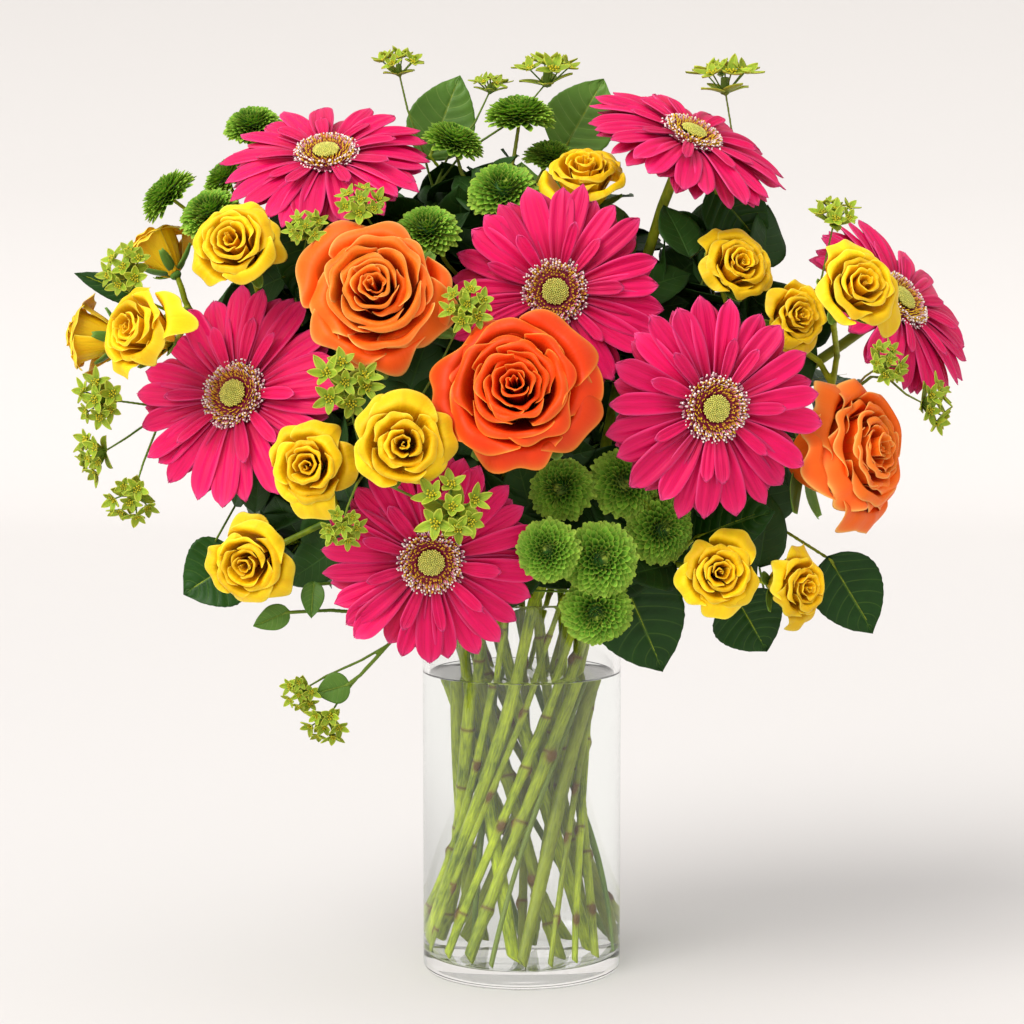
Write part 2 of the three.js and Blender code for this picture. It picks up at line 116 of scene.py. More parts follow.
def basis(axis, spin=0.0):
    """A rotation whose third column is the axis."""
    axis = unit(np.asarray(axis, float))
    helper = np.array([0.0, 0.0, 1.0]) if abs(axis[2]) < 0.92 else np.array([0.0, -1.0, 0.0])
    side = unit(np.cross(helper, axis))
    up = np.cross(axis, side)
    c, s = math.cos(spin), math.sin(spin)
    return np.stack([c * side + s * up, -s * side + c * up, axis], axis=1)


def domes_in(shape, degree, rings, ratio):
    """The heads of a fused spray: each shows as one point with `degree` evenly spaced neighbours."""
    found = []
    for i, near in enumerate(shape.near):
        if len(near) != degree:
            continue
        ring = shape.points[sorted(near)]
        middle = ring.mean(axis=0)
        axis = shape.points[i] - middle
        reach = np.linalg.norm(ring - middle, axis=1)
        flat = np.abs((ring - middle) @ unit(axis)).max()
        if reach.min() < 0.004 or flat > 0.03 * reach.mean() or np.linalg.norm(axis) < 0.0003:
            continue
        found.append((i, middle, unit(axis), reach.mean() / ratio, shape.layers(i, rings)))
    return found


def blades_in(shape):
    """The leaves of a fused spray, found from their tips: four neighbours, wide one way, thin the other."""
    found = []
    for i, near in enumerate(shape.near):
        if len(near) != 4:
            continue
        rings = shape.layers(i, 4)
        if [len(r) for r in rings[:4]] != [1, 4, 4, 4]:
            continue
        tip = shape.points[i]
        mids, sides = [], []
        for ring in rings[1:4]:
            p = shape.points[ring]
            gap = np.linalg.norm(p[:, None] - p[None], axis=2)
            a, b = np.unravel_index(gap.argmax(), gap.shape)
            rest = [k for k in range(4) if k not in (a, b)]
            mids.append(p[rest].mean(axis=0))
            sides.append((p[a], p[b], gap.max(), gap[rest[0], rest[1]]))
        if any(thick > 0.0022 or wide < 2.2 * thick for _, _, wide, thick in sides):
            continue
        m1, m2, m3 = mids
        base = (
            m3 * (0.5 * 0.82) / (0.3 * 0.62)
            - m2 * (0.2 * 0.82) / (0.3 * 0.32)
            + m1 * (0.2 * 0.5) / (0.62 * 0.32)
        )
        normal = unit(0.5 * (sides[1][0] + sides[1][1]) - m2)
        found.append((base, tip, normal, sides[1][2], rings, mids))
    return found


# ---- building meshes ----
class Patch:
    """Points on an nu x nv grid with its faces and four shading values per point."""

    def __init__(self, points, nu, nv, across, along, layer, rand):
        self.points = points.reshape(-1, 3)
        i, j = np.meshgrid(np.arange(nu - 1), np.arange(nv - 1), indexing="ij")
        a = (i * nv + j).ravel()
        self.faces = np.stack([a, a + nv, a + nv + 1, a + 1], axis=1)
        n = len(self.points)
        self.tone = np.stack(
            [np.broadcast_to(x, (n,)).astype(float) for x in (across.ravel(), along.ravel(), layer, rand)],
            axis=1,
        )

    def moved(self, turn, at):
        """Turn the patch, then move it."""
        self.points = self.points @ turn.T + at
        return self


def grid(nu, nv):
    """Positions across (-1 to 1) and along (0 to 1) a patch."""
    u, v = np.meshgrid(np.linspace(-1, 1, nu), np.linspace(0, 1, nv), indexing="ij")
    return u, v


def round_angles(count):
    """Evenly spaced angles round a full turn."""
    return np.linspace(0, 2 * math.pi, count, endpoint=False)


def placed(patches, turn, at):
    """The patches, turned and moved to their place."""
    return [patch.moved(turn, at) for patch in patches]


def new_object(name, data):
    """An object for a mesh, lamp or camera, linked into the scene."""
    obj = bpy.data.objects.new(name, data)
    bpy.context.scene.collection.objects.link(obj)
    return obj


def store_tones(mesh, tones):
    """Keep four shading values per point in the attribute `tone`."""
    layer = mesh.attributes.new("tone", "FLOAT_COLOR", "POINT")
    layer.data.foreach_set("color", tones.astype(np.float32).ravel())


def smooth_faces(mesh):
    """Shade every face smooth."""
    mesh.polygons.foreach_set("use_smooth", np.ones(len(mesh.polygons), dtype=bool))


def mesh_object(name, patches, material, body="root", cad=(), thick=0.0):
    """One Blender piece from many patches."""
    points = np.concatenate([p.points for p in patches])
    tones = np.concatenate([p.tone for p in patches])
    offsets = np.cumsum([0] + [len(p.points) for p in patches[:-1]])
    faces = np.concatenate([p.faces + o for p, o in zip(patches, offsets)])
    mesh = bpy.data.meshes.new(name)
    mesh.vertices.add(len(points))
    mesh.vertices.foreach_set("co", points.astype(np.float32).ravel())
    mesh.loops.add(faces.size)
    mesh.loops.foreach_set("vertex_index", faces.astype(np.int32).ravel())
    mesh.polygons.add(len(faces))
    mesh.polygons.foreach_set("loop_start", np.arange(0, faces.size, 4, dtype=np.int32))
    mesh.update(calc_edges=True)
    store_tones(mesh, tones)
    smooth_faces(mesh)
    mesh.validate()
    obj = new_object(name, mesh)
    obj.data.materials.append(material)
    if thick:
        solid = obj.modifiers.new("thickness", "SOLIDIFY")
        solid.thickness = thick
        solid.offset = 0
    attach(obj, body)
    if cad:
        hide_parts(*cad)
    return obj


def straps(
    count, rng, root, length, width, pitch, azimuths, layer, nu=3, nv=5, curl=0.0, cup=0.0, pointed=False
):
    """Many small strap petals at once; root, pitch and the rest are arrays of `count` values."""
    patches = []
    u, v = grid(nu, nv)
    for k in range(count):
        w = width[k] * np.sin(np.pi * (v**0.75 if pointed else np.clip(0.16 + 0.76 * v, 0, 1))) ** 0.7
        bend = pitch[k] + curl * v
        step = length[k] / (nv - 1)
        x = np.concatenate([np.zeros((nu, 1)), np.cumsum(np.cos(bend[:, :-1]) * step, axis=1)], axis=1)
        z = np.concatenate([np.zeros((nu, 1)), np.cumsum(np.sin(bend[:, :-1]) * step, axis=1)], axis=1)
        y = 0.5 * w * u
        z2 = z + cup * width[k] * u**2
        c, s = math.cos(azimuths[k]), math.sin(azimuths[k])
        px = root[k][0] + x
        pts = np.stack([px * c - y * s, px * s + y * c, root[k][1] + z2], axis=-1)
        patches.append(Patch(pts, nu, nv, 0.5 + 0.5 * u, v, layer, rng.random()))
    return patches


# ---- materials ----
def new_material(name):
    """A material, its node tree and its main shader."""
    mat = bpy.data.materials.new(name)
    mat.use_nodes = True
    tree = mat.node_tree
    return mat, tree, tree.nodes["Principled BSDF"]


def srgb(hexcode):
    """A screen colour as the linear one that shaders take."""
    c = [int(hexcode[i : i + 2], 16) / 255 for i in (0, 2, 4)]
    return [x / 12.92 if x <= 0.04045 else ((x + 0.055) / 1.055) ** 2.4 for x in c] + [1.0]


class Value:
    """A shader value that takes plain arithmetic: each operation adds one math node."""

    def __init__(self, tree, socket):
        self.tree = tree
        self.socket = socket

    def step(self, operation, other=None):
        return math_step(self.tree, operation, self, other)

    def __add__(self, other):
        return self.step("ADD", other)

    def __sub__(self, other):
        return self.step("SUBTRACT", other)

    def __rsub__(self, other):
        return math_step(self.tree, "SUBTRACT", other, self)

    def __mul__(self, other):
        return self.step("MULTIPLY", other)

    def __truediv__(self, other):
        return self.step("DIVIDE", other)

    def __pow__(self, other):
        return self.step("POWER", other)

    def __abs__(self):
        return self.step("ABSOLUTE")

    def clamped(self):
        """Hold the result of the last operation between 0 and 1."""
        self.socket.node.use_clamp = True
        return self


def feed(tree, source, socket):
    """Link a shader value to a socket, or set the socket to a number or colour."""
    if isinstance(source, Value):
        tree.links.new(source.socket, socket)
    else:
        socket.default_value = source


def math_step(tree, operation, a, b=None):
    """One math node on one or two values."""
    node = tree.nodes.new("ShaderNodeMath")
    node.operation = operation
    feed(tree, a, node.inputs[0])
    if b is not None:
        feed(tree, b, node.inputs[1])
    return Value(tree, node.outputs[0])


def mix_colour(tree, share, a, b, blend="MIX"):
    """Colour a, with a share of colour b over it."""
    node = tree.nodes.new("ShaderNodeMix")
    node.data_type = "RGBA"
    node.blend_type = blend
    feed(tree, share, node.inputs[0])
    feed(tree, a, node.inputs[6])
    feed(tree, b, node.inputs[7])
    return Value(tree, node.outputs[2])


def tone_nodes(tree):
    """Across (0 to 1), along, layer and a random value of the petal that a point belongs to."""
    a = tree.nodes.new("ShaderNodeAttribute")
    a.attribute_name = "tone"
    s = tree.nodes.new("ShaderNodeSeparateColor")
    tree.links.new(a.outputs["Color"], s.inputs[0])
    return [Value(tree, x) for x in (s.outputs[0], s.outputs[1], s.outputs[2], a.outputs["Alpha"])]


def noise(tree, place, scale, detail):
    """Noise read at a place."""
    node = tree.nodes.new("ShaderNodeTexNoise")
    node.inputs["Scale"].default_value = scale
    node.inputs["Detail"].default_value = detail
    tree.links.new(place, node.inputs["Vector"])
    return Value(tree, node.outputs[0])


def object_place(tree):
    """The place of a point in its object."""
    return tree.nodes.new("ShaderNodeTexCoord").outputs["Object"]


def streaks(tree, across, along, rand, fine, stretch, detail=3.0):
    """Noise drawn out along the petal."""
    place = tree.nodes.new("ShaderNodeCombineXYZ")
    feed(tree, across * fine, place.inputs[0])
    feed(tree, along * stretch, place.inputs[1])
    feed(tree, rand * 37.0, place.inputs[2])
    return noise(tree, place.outputs[0], 1.0, detail)


def bump(tree, shader, height, strength, distance):
    """Fine relief from a height value."""
    n = tree.nodes.new("ShaderNodeBump")
    n.inputs["Strength"].default_value = strength
    n.inputs["Distance"].default_value = distance
    feed(tree, height, n.inputs["Height"])
    tree.links.new(n.outputs[0], shader.inputs["Normal"])


def surface(tree, shader, colour, rough, shine, scatter, reach):
    """Colour and roughness, how strongly the surface shines, and how far light scatters inside it."""
    feed(tree, colour, shader.inputs["Base Color"])
    shader.inputs["Roughness"].default_value = rough
    shader.inputs["Specular IOR Level"].default_value = shine
    shader.inputs["Subsurface Weight"].default_value = scatter
    shader.inputs["Subsurface Radius"].default_value = reach


def petal_material(
    name, colours, fine=14.0, sss=0.25, rim_power=3.0, rim_mix=0.8, body_from=0.1, open_share=0.0
):
    """Petal with fine lengthwise veins; its colours are for the foot, body, outer petals, rim and veins. The
    rim colour is partly the petal's own paler edge or tip and, on the roses, a painted highlight along the
    rims. The foot colour is partly the petal's own deeper base and partly painted shade down in the cup.
    """
    foot, body, outer, rim, deep = map(srgb, colours)
    mat, tree, shader = new_material(name)
    across, along, layer, rand = tone_nodes(tree)
    edge = abs(across * 2.0 - 1.0)
    # Mask for paler rims and tips: the petal's own edge colour, and on the roses a painted highlight.
    rim_tint_and_highlight = (edge ** (rim_power * 3)).step("MAXIMUM", along ** (rim_power * 4))
    grade = (layer * 0.75 + rand * 0.3) ** 1.4
    upper = mix_colour(tree, grade.clamped(), body, outer)
    # Foot colour low on the petal: partly its own deeper base, partly painted shade deep in the cup;
    # open_share lifts the outer petals out of it.
    shown = (along - body_from) / 0.38 + layer**3.0 * open_share
    colour = mix_colour(tree, shown.clamped(), foot, upper)
    vein = streaks(tree, across, along, rand, fine, 1.3)
    veins = ((vein - 0.45) * 1.6).clamped()
    colour = mix_colour(tree, veins * 0.95, colour, deep)
    # Rim tint laid over the colour: on the roses this is a painted highlight.
    colour = mix_colour(tree, rim_tint_and_highlight * rim_mix, colour, rim)
    shade = rand * 0.34 + 0.78
    tint = tree.nodes.new("ShaderNodeCombineColor")
    for i in range(3):
        feed(tree, shade, tint.inputs[i])
    colour = mix_colour(tree, 1.0, colour, Value(tree, tint.outputs[0]), "MULTIPLY")
    surface(tree, shader, colour, 0.5, 0.2, sss, (0.0018, 0.0006, 0.0004))
    shader.inputs["Subsurface Scale"].default_value = 1.0
    bump(tree, shader, vein, 0.8, 0.0009)
    return mat


def leaf_veins(across, along, pairs=6.0):
    """A pale midrib and side veins that arch forward towards the edge."""
    edge = abs(across * 2.0 - 1.0)
    run = (along - 0.08 - edge**1.3 * 0.2) * (pairs / 0.8)
    off = run.step("PINGPONG", 0.5)
    side = (1.0 - off / 0.075).clamped() * (0.62 - edge * 0.4)
    middle = (1.0 - edge / 0.055).clamped()
    return side.step("MAXIMUM", middle)


def leaf_material(name, dark, light, vein_colour, gloss=0.4):
    """Leaf with soft blotches and pale veins."""
    mat, tree, shader = new_material(name)
    across, along, _, rand = tone_nodes(tree)
    veins = leaf_veins(across, along)
    blotches = noise(tree, object_place(tree), 90.0, 5.0)
    blotch = blotches * 0.7 + rand * 0.5
    colour = mix_colour(tree, blotch.clamped(), dark, light)
    colour = mix_colour(tree, veins * 0.6, colour, vein_colour)
    surface(tree, shader, colour, gloss, 0.2, 0.08, (0.001, 0.002, 0.0005))
    bump(tree, shader, blotches * 0.4 - veins, 0.5, 0.0005)
    return mat


def stem_material(name, light, dark, scar):
    """Fresh stem: fine lengthwise fibres, darker patches, and brown scars where tone says so."""
    mat, tree, shader = new_material(name)
    across, along, layer, rand = tone_nodes(tree)
    fibre = streaks(tree, across, along, rand, 26.0, 40.0, 4.0)
    place = object_place(tree)
    patches = noise(tree, place, 60.0, 4.0)
    dots = noise(tree, place, 420.0, 2.0)
    mottle = (fibre + patches - 0.74) * 1.75
    colour = mix_colour(tree, mottle.clamped(), light, dark)
    olive = mix_colour(tree, 0.3, dark, [0.36, 0.3, 0.04, 1.0])
    colour = mix_colour(tree, rand**2.0 * 0.85, colour, olive)
    speck = (dots - 0.66) * 4.0
    colour = mix_colour(tree, speck.clamped(), colour, dark)
    scarred = layer * (patches + 0.75)
    colour = mix_colour(tree, scarred.clamped(), colour, scar)
    surface(tree, shader, colour, 0.42, 0.22, 0.05, (0.001, 0.002, 0.0006))
    bump(tree, shader, fibre, 0.25, 0.0004)
    return mat


def clear_material(name, tint, ior):
    """Clear glass or water: it refracts what is seen through it and lets light pass to what stands inside."""
    mat, tree, shader = new_material(name)
    shader.inputs["Base Color"].default_value = tint
    shader.inputs["Roughness"].default_value = 0.0
    shader.inputs["IOR"].default_value = ior
    shader.inputs["Transmission Weight"].default_value = 1.0
    clear = tree.nodes.new("ShaderNodeBsdfTransparent")
    clear.inputs[0].default_value = tint
    path = tree.nodes.new("ShaderNodeLightPath")
    mix = tree.nodes.new("ShaderNodeMixShader")
    in_shadow = Value(tree, path.outputs["Is Shadow Ray"])
    in_diffuse = Value(tree, path.outputs["Is Diffuse Ray"])
    feed(tree, in_shadow.step("MAXIMUM", in_diffuse), mix.inputs[0])
    tree.links.new(shader.outputs[0], mix.inputs[1])
    tree.links.new(clear.outputs[0], mix.inputs[2])
    tree.links.new(mix.outputs[0], tree.nodes["Material Output"].inputs[0])
    return mat


# Gerbera palette: the outer colour goes to the second ring of rays, under the first, as painted shade.
PINK = petal_material(
    "gerbera petal", ("a80434", "e60a5e", "b8063c", "f868ac", "aa0238"), fine=9.0, rim_mix=0.45,
    rim_power=4.0, sss=0.2,
)
# Rose palettes: the rim colour is a painted highlight on the rolled rims; the foot colour is partly the
# rose's own deeper base and partly painted shade inside the cup.
ORANGE = petal_material(
    "orange petal", ("e03000", "ff8a1c", "ff5c14", "ffc468", "ff5c0a"), fine=10.0, sss=0.12, rim_power=9.0,
    body_from=0.52, open_share=2.0,
)
CORAL = petal_material(
    "coral petal", ("c01000", "fc5a0a", "f0340e", "ffa03c", "f03e04"), fine=10.0, sss=0.12, rim_power=9.0,
    body_from=0.52, open_share=2.0,
)
YELLOW = petal_material(
    "yellow petal", ("e09c08", "fabe06", "fccf12", "ffe650", "eca804"), fine=9.0, sss=0.12, rim_power=9.0,
    body_from=0.45, open_share=3.0,
)
FRINGE = petal_material(
    "gerbera fringe", ("8a0838", "c4145c", "dc5c8c", "fff0ea", "a00c48"), fine=2.0, rim_power=1.1,
    rim_mix=1.0, sss=0.1,
)
ANTHER = petal_material(
    "gerbera anther", ("6c0828", "a8123c", "a8123c", "fcd22c", "8a0c30"), fine=2.0, rim_power=1.0,
    rim_mix=1.0, sss=0.1,
)
HEART = petal_material(
    "gerbera heart", ("7f8c28", "c2c24c", "dcd260", "f2eca0", "929c38"), fine=2.0, rim_power=0.9, sss=0.1
)
# Mum palette: the dark foot colour is partly the mum's own green heart and partly painted shade between the
# petals.
MUM = petal_material(
    "button mum petal", ("1c4a0c", "5ca022", "7cba34", "d0e25c", "428618"), fine=4.0, rim_power=1.2, sss=0.12,
    body_from=0.3,
)
BRACT = petal_material(
    "bupleurum bract", ("5c7c18", "94ae28", "8ca82c", "cfd650", "6c8c24"), fine=5.0, rim_power=2.0, sss=0.15
)
FLORET = petal_material(
    "bupleurum floret", ("a89c14", "d4c424", "d4c424", "ecdc48", "acac1c"), fine=2.0, rim_power=1.0, sss=0.1
)
SEPAL = petal_material("sepal", ("44702a", "5f8f34", "5f8f34", "86ad4a", "42702a"), fine=6.0, sss=0.1)
SALAL = leaf_material("salal leaf", srgb("0c2806"), srgb("24500f"), srgb("64882e"))
DEEP = leaf_material("inner leaf", srgb("081c04"), srgb("284c14"), srgb("406424"), gloss=0.55)
FRESH = leaf_material("fresh leaf", srgb("335a14"), srgb("648a34"), srgb("98ae58"))
STEM = stem_material("green stem", srgb("c4d624"), srgb("4a640c"), srgb("66480e"))
TWIG = stem_material("fine stem", srgb("789430"), srgb("486e1e"), srgb("5a4420"))
GLASS = clear_material("clear glass", (0.985, 0.995, 0.99, 1), 1.4)
WATER = clear_material("water", (0.985, 0.995, 0.995, 1), 1.333)

# How the two kinds of rose are built, how mums are found in the CAD, and how far out the inner leaves go.
ORANGE_ROSE = {
    "slot": "orange_petals", "petals": 29, "depth_share": 1.4, "curl": 0.13, "sepal_out": -0.2,
    "size": (19, 17),
}
YELLOW_ROSE = {
    "slot": "yellow_petals", "petals": 19, "depth_share": 1.47, "curl": 0.17, "sepal_out": 0.4,
    "size": (15, 14),
}
MUM_DOMES = {"degree": 10, "rings": 3, "ratio": 0.6}
INNER_REACH = np.array([0.168, 0.095, 0.195])


# ---- gerberas ----
def ray_petal(rng, radius, start, width, tip_z, azimuth, height, layer, nu=13, nv=22):
    """One strap petal with lengthwise pleats, a blunt notched tip and its own small bend and twist."""
    u, v = grid(nu, nv)
    length = (radius - start) * rng.uniform(0.98, 1.08)
    widest = rng.uniform(0.58, 0.7)
    opening = 0.4 + 0.6 * np.sin(0.5 * np.pi * v / widest) ** 1.2
    closing = 1 - 0.22 * ((v - widest) / (1 - widest)) ** 2
    swell = np.where(v < widest, opening, closing)
    tip_round = np.sqrt(np.clip(1 - np.clip((v - 0.8) / 0.2, 0, 1) ** 2.2 * 0.93, 0, 1))
    w = 0.5 * width * swell * tip_round
    notch = np.exp(-(((np.abs(u) - 0.3) / 0.14) ** 2)) * v**16 * 0.03 * rng.uniform(0.0, 1.3)
    along = v - 0.04 * u**2 * v**3 - notch
    sway = rng.normal(0, 0.035) * length
    x = start + length * along
    y = w * u + sway * v**2
    sag = tip_z + rng.normal(0, 0.028) * radius
    z = height + sag * v**1.7 + 0.055 * radius * np.sin(np.pi * v**0.9) * rng.uniform(0.3, 1.1)
    cup = rng.uniform(-0.02, 0.2) * width
    pleats = 0.04 * width * np.cos(2.5 * np.pi * u) * (1 - v**6) * np.clip(v * 4, 0, 1)
    z = z + cup * (u**2 - 0.3) * (1 - 0.5 * v) + pleats
    z = z + rng.normal(0, 0.16) * w * u * v
    c, s = math.cos(azimuth), math.sin(azimuth)
    points = np.stack([x * c - y * s, x * s + y * c, z], axis=-1)
    return Patch(points, nu, nv, 0.5 + 0.5 * u, v, layer, rng.random())


def gerbera_rays(rng, radius, lift):
    """Three layers of long petals: two full ones and a few short inner petals. The second full layer, which
    lies under the first, takes the darker outer colour as painted shade.
    """
    rays = []
    # Each row: count, share of the radius, height, width, droop, and the petal layer that sets its colour;
    # the second row lies under the first and gets a high layer, which darkens it as painted shade.
    layers = (
        (23, 1.0, -0.0022, 0.245, -0.001, 0.0),
        (21, 0.93, -0.0032, 0.24, -0.004, 0.85),
        (9, 0.66, 0.0003, 0.13, 0.004, 0.2),
    )
    for count, share, height, width, droop, dark in layers:
        first = rng.uniform(0, 6.28)
        for k in range(count):
            azimuth = first + 2 * math.pi * (k + rng.normal(0, 0.2)) / count
            size = share * radius * rng.uniform(0.96, 1.02)
            wide = width * radius * rng.uniform(0.8, 1.1)
            tip_z = lift * share + droop
            rays.append(ray_petal(rng, size, 0.2 * radius, wide, tip_z, azimuth, height, dark))
    return rays


def gerbera_fringe(rng, radius):
    """Three rings of short florets, most of them with a pale dot at the tip."""
    fringe = []
    rings = ((0.3, 60, 0.35, 0.9), (0.27, 54, 0.7, 0.6), (0.24, 48, 1.0, 0.4))
    for row, (share, count, pitch, layer) in enumerate(rings):
        r = share * radius * rng.uniform(0.955, 1.045, count)
        root = [(x - 0.03 * radius, 0.0002 + 0.0009 * row) for x in r]
        angle = round_angles(count) + rng.normal(0, 0.03, count)
        length = 0.05 * radius * rng.uniform(0.6, 1.3, count)
        width = np.full(count, 0.024 * radius)
        pitches = pitch + rng.normal(0, 0.25, count)
        fringe += straps(count, rng, root, length, width, pitches, angle, layer, curl=-0.3)
        for k in range(count):
            if rng.random() < 0.7:
                d = r[k] + 0.012 * radius
                at = (d * math.cos(angle[k]), d * math.sin(angle[k]), 0.0016 + 0.0012 * row)
                dot = bud(rng, at, 0.0078 * radius, 1.0)
                dot.tone[:, 1] = 1.0
                fringe.append(dot)
    return fringe


def gerbera_anthers(rng, radius):
    """A dark cup with five rings of upright anthers."""
    profile = ((0.1, 0.0014), (0.16, 0.0022), (0.24, 0.0016), (0.3, 0.0))
    cup = ring_cup([(r * radius, z) for r, z in profile], 48)
    cup.tone[:, :2] = (0.5, 0.1)
    anthers = [cup]
    for share, count in ((0.25, 58), (0.222, 52), (0.195, 46), (0.168, 40), (0.142, 34)):
        angle = round_angles(count) + rng.normal(0, 0.04, count)
        root = [(share * radius * rng.uniform(0.95, 1.05), 0.001) for _ in range(count)]
        length = 0.058 * radius * rng.uniform(0.6, 1.2, count)
        width = np.full(count, 0.019 * radius)
        pitch = 1.15 + rng.normal(0, 0.18, count)
        anthers += straps(count, rng, root, length, width, pitch, angle, 0.7, nv=4, curl=-0.2)
    return anthers


def gerbera_heart(rng, radius):
    """Closed buds in a spiral over a low dome."""
    heart = []
    edge = 0.125 * radius
    count = 190
    for k in range(count):
        r = edge * math.sqrt((k + 0.5) / count)
        dome = 0.0028 + 0.0014 * (1 - (r / edge) ** 2)
        at = (r * math.cos(k * GOLDEN), r * math.sin(k * GOLDEN), dome)
        heart.append(bud(rng, at, 0.0095 * radius, r / edge))
    return heart


def gerbera_calyx(rng, radius):
    """A green cup with three rows of bracts behind the rays."""
    profile = ((0.06, -0.0142), (0.075, -0.0135), (0.16, -0.0095), (0.235, -0.0048), (0.24, -0.0035))
    calyx = [ring_cup([(r * radius, z) for r, z in profile], 40)]
    count = 22
    rows = ((0.12, -0.0118, 0.17), (0.17, -0.0088, 0.16), (0.21, -0.0062, 0.13))
    for row, (r0, z0, length) in enumerate(rows):
        angle = round_angles(count) + 0.14 * row
        root = [(r0 * radius, z0 - 0.0006)] * count
        width = np.full(count, 0.055 * radius)
        pitch = np.full(count, 0.75)
        calyx += straps(
            count, rng, root, np.full(count, length * radius), width, pitch, angle, 0.2, curl=-0.5
        )
    return calyx


def gerbera(number):
    """One flower head, from its rays to its heart, with the calyx behind."""
    name = f"gerbera_{number}"
    head = name + "_head"
    rng = np.random.RandomState(100 + number)
    back, axis, depth, radius = head_pose(head, name + "_stem")
    lift = depth - 0.0146 if depth > 0.0149 else -0.003
    turn = basis(axis, rng.uniform(0, 6))
    centre = back + axis * 0.014

    def piece(part, patches, material, thick=0.0):
        mesh_object(name + part, placed(patches, turn, centre), material, cad=[head], thick=thick)

    piece("_rays", gerbera_rays(rng, radius, lift), PINK, thick=0.0005)
    piece("_fringe", gerbera_fringe(rng, radius), FRINGE, thick=0.0002)
    piece("_anthers", gerbera_anthers(rng, radius), ANTHER, thick=0.0003)
    piece("_heart", gerbera_heart(rng, radius), HEART)
    piece("_calyx", gerbera_calyx(rng, radius), SEPAL, thick=0.0004)


def bud(rng, at, r, along):
    """A small closed bump, slightly pointed."""
    u, v = grid(7, 5)
    a = np.pi * (u + 1)
    t = np.pi * 0.5 * (1 - v) ** 0.9
    x = at[0] + r * np.sin(t) * np.cos(a)
    y = at[1] + r * np.sin(t) * np.sin(a)
    z = at[2] + 1.5 * r * np.cos(t)
    return Patch(
        np.stack([x, y, z], axis=-1), 7, 5, np.full_like(u, 0.5), 0.25 + 0.6 * v, along, rng.random()
    )


def ring_cup(profile, segments):
    """A turned shell from its profile of (radius, height)."""
    a = np.linspace(0, 2 * math.pi, segments + 1)
    r = np.array([p[0] for p in profile])
    z = np.array([p[1] for p in profile])
    points = np.stack(
        [np.outer(np.cos(a), r), np.outer(np.sin(a), r), np.tile(z, (segments + 1, 1))], axis=-1
    )
    v = np.tile(np.linspace(0.2, 0.9, len(profile)), (segments + 1, 1))
    u = np.tile(np.linspace(0, 1, segments + 1)[:, None], (1, len(profile)))
    return Patch(points, segments + 1, len(profile), u, v, 0.0, 0.5)


# ---- roses ----
def rose_petal(rng, radius, q, azimuth, lip, nu, nv):
    """Petal q of a rose, from 0 at the tight heart to 1 at the guard petals; its rim turns out by the lip."""
    u, v = grid(nu, nv)
    rim = radius * (0.035 + 0.87 * q**1.05) * rng.uniform(0.9, 1.06)
    top = radius * (0.47 - 0.1 * q - 0.26 * q**3) + rng.normal(0, 0.045) * radius
    half = math.radians(112 - 66 * q**0.45) * rng.uniform(0.9, 1.1)
    foot, low = radius * (0.04 + 0.09 * q), -0.84 * radius
    wall = max(rim - lip * radius, 0.45 * rim)
    point = rng.uniform(0.03, 0.07 + 0.16 * q) * (1 - np.abs(u - rng.uniform(-0.3, 0.3) * q)).clip(0) ** 1.4
    ripple = 0.02 * np.sin(4 * u + azimuth * 5) * (0.3 + q)
    outline = 1 + point - (0.05 + 0.16 * q) * np.abs(u) ** 2.6 + ripple
    t = v * outline
    turned_out = 0.55 + 0.75 * np.sin(np.pi * np.clip(np.abs(u) * 0.9, 0, 1)) ** 2
    b0, b1, b2, b3 = (1 - t) ** 3, 3 * t * (1 - t) ** 2, 3 * t**2 * (1 - t), t**3
    r = b0 * foot + b1 * wall * (1.02 - 0.1 * q) + b2 * (wall * (1.06 - 0.04 * q)) + b3 * rim
    z = b0 * low + b1 * (low + 0.42 * (top - low)) + b2 * (top + 0.02 * radius) + b3 * top
    roll = np.clip((t - 0.74) / 0.26, 0, 1.2)
    r = r + 0.35 * lip * radius * turned_out * roll**2
    z = z - (0.1 + 0.75 * lip) * lip * radius * turned_out * roll**2.6 * 3.0
    r = r + radius * (0.01 + 0.026 * q) * np.sin(rng.uniform(1.6, 3.4) * np.pi * u + azimuth * 3) * v**3
    z = z + radius * (0.008 + 0.03 * q) * np.sin(rng.uniform(1.8, 4.0) * np.pi * u + azimuth * 5) * v**4
    r = r + 0.03 * radius * u * (0.4 + 0.6 * q) + 0.02 * radius * q * u**2
    a = azimuth + half * u
    points = np.stack([r * np.cos(a), r * np.sin(a), z], axis=-1)
    shift = rng.normal(0, 0.02 * (1 - q), 2) * radius
    points = points + np.array([shift[0], shift[1], 0.0])
    return Patch(points, nu, nv, 0.5 + 0.5 * u, np.clip(v, 0, 1), q, rng.random())


def rose_calyx(rng, radius, low, sepal_out):
    """A green hip with five sepals."""
    profile = ((0.07, 0.0), (0.13, 0.06), (0.145, 0.12), (0.11, 0.18), (0.2, 0.26))
    hip = ring_cup([(r * radius, (low + z) * radius) for r, z in profile], 24)
    angle = round_angles(5) + rng.uniform(0, 1)
    root = [(0.12 * radius, (low + 0.17) * radius)] * 5
    length = np.full(5, 0.75 * radius)
    width = np.full(5, 0.26 * radius)
    pitch = sepal_out + rng.normal(0, 0.12, 5)
    return [hip] + straps(5, rng, root, length, width, pitch, angle, 0.3, nu=5, nv=9, curl=0.5, cup=0.15)


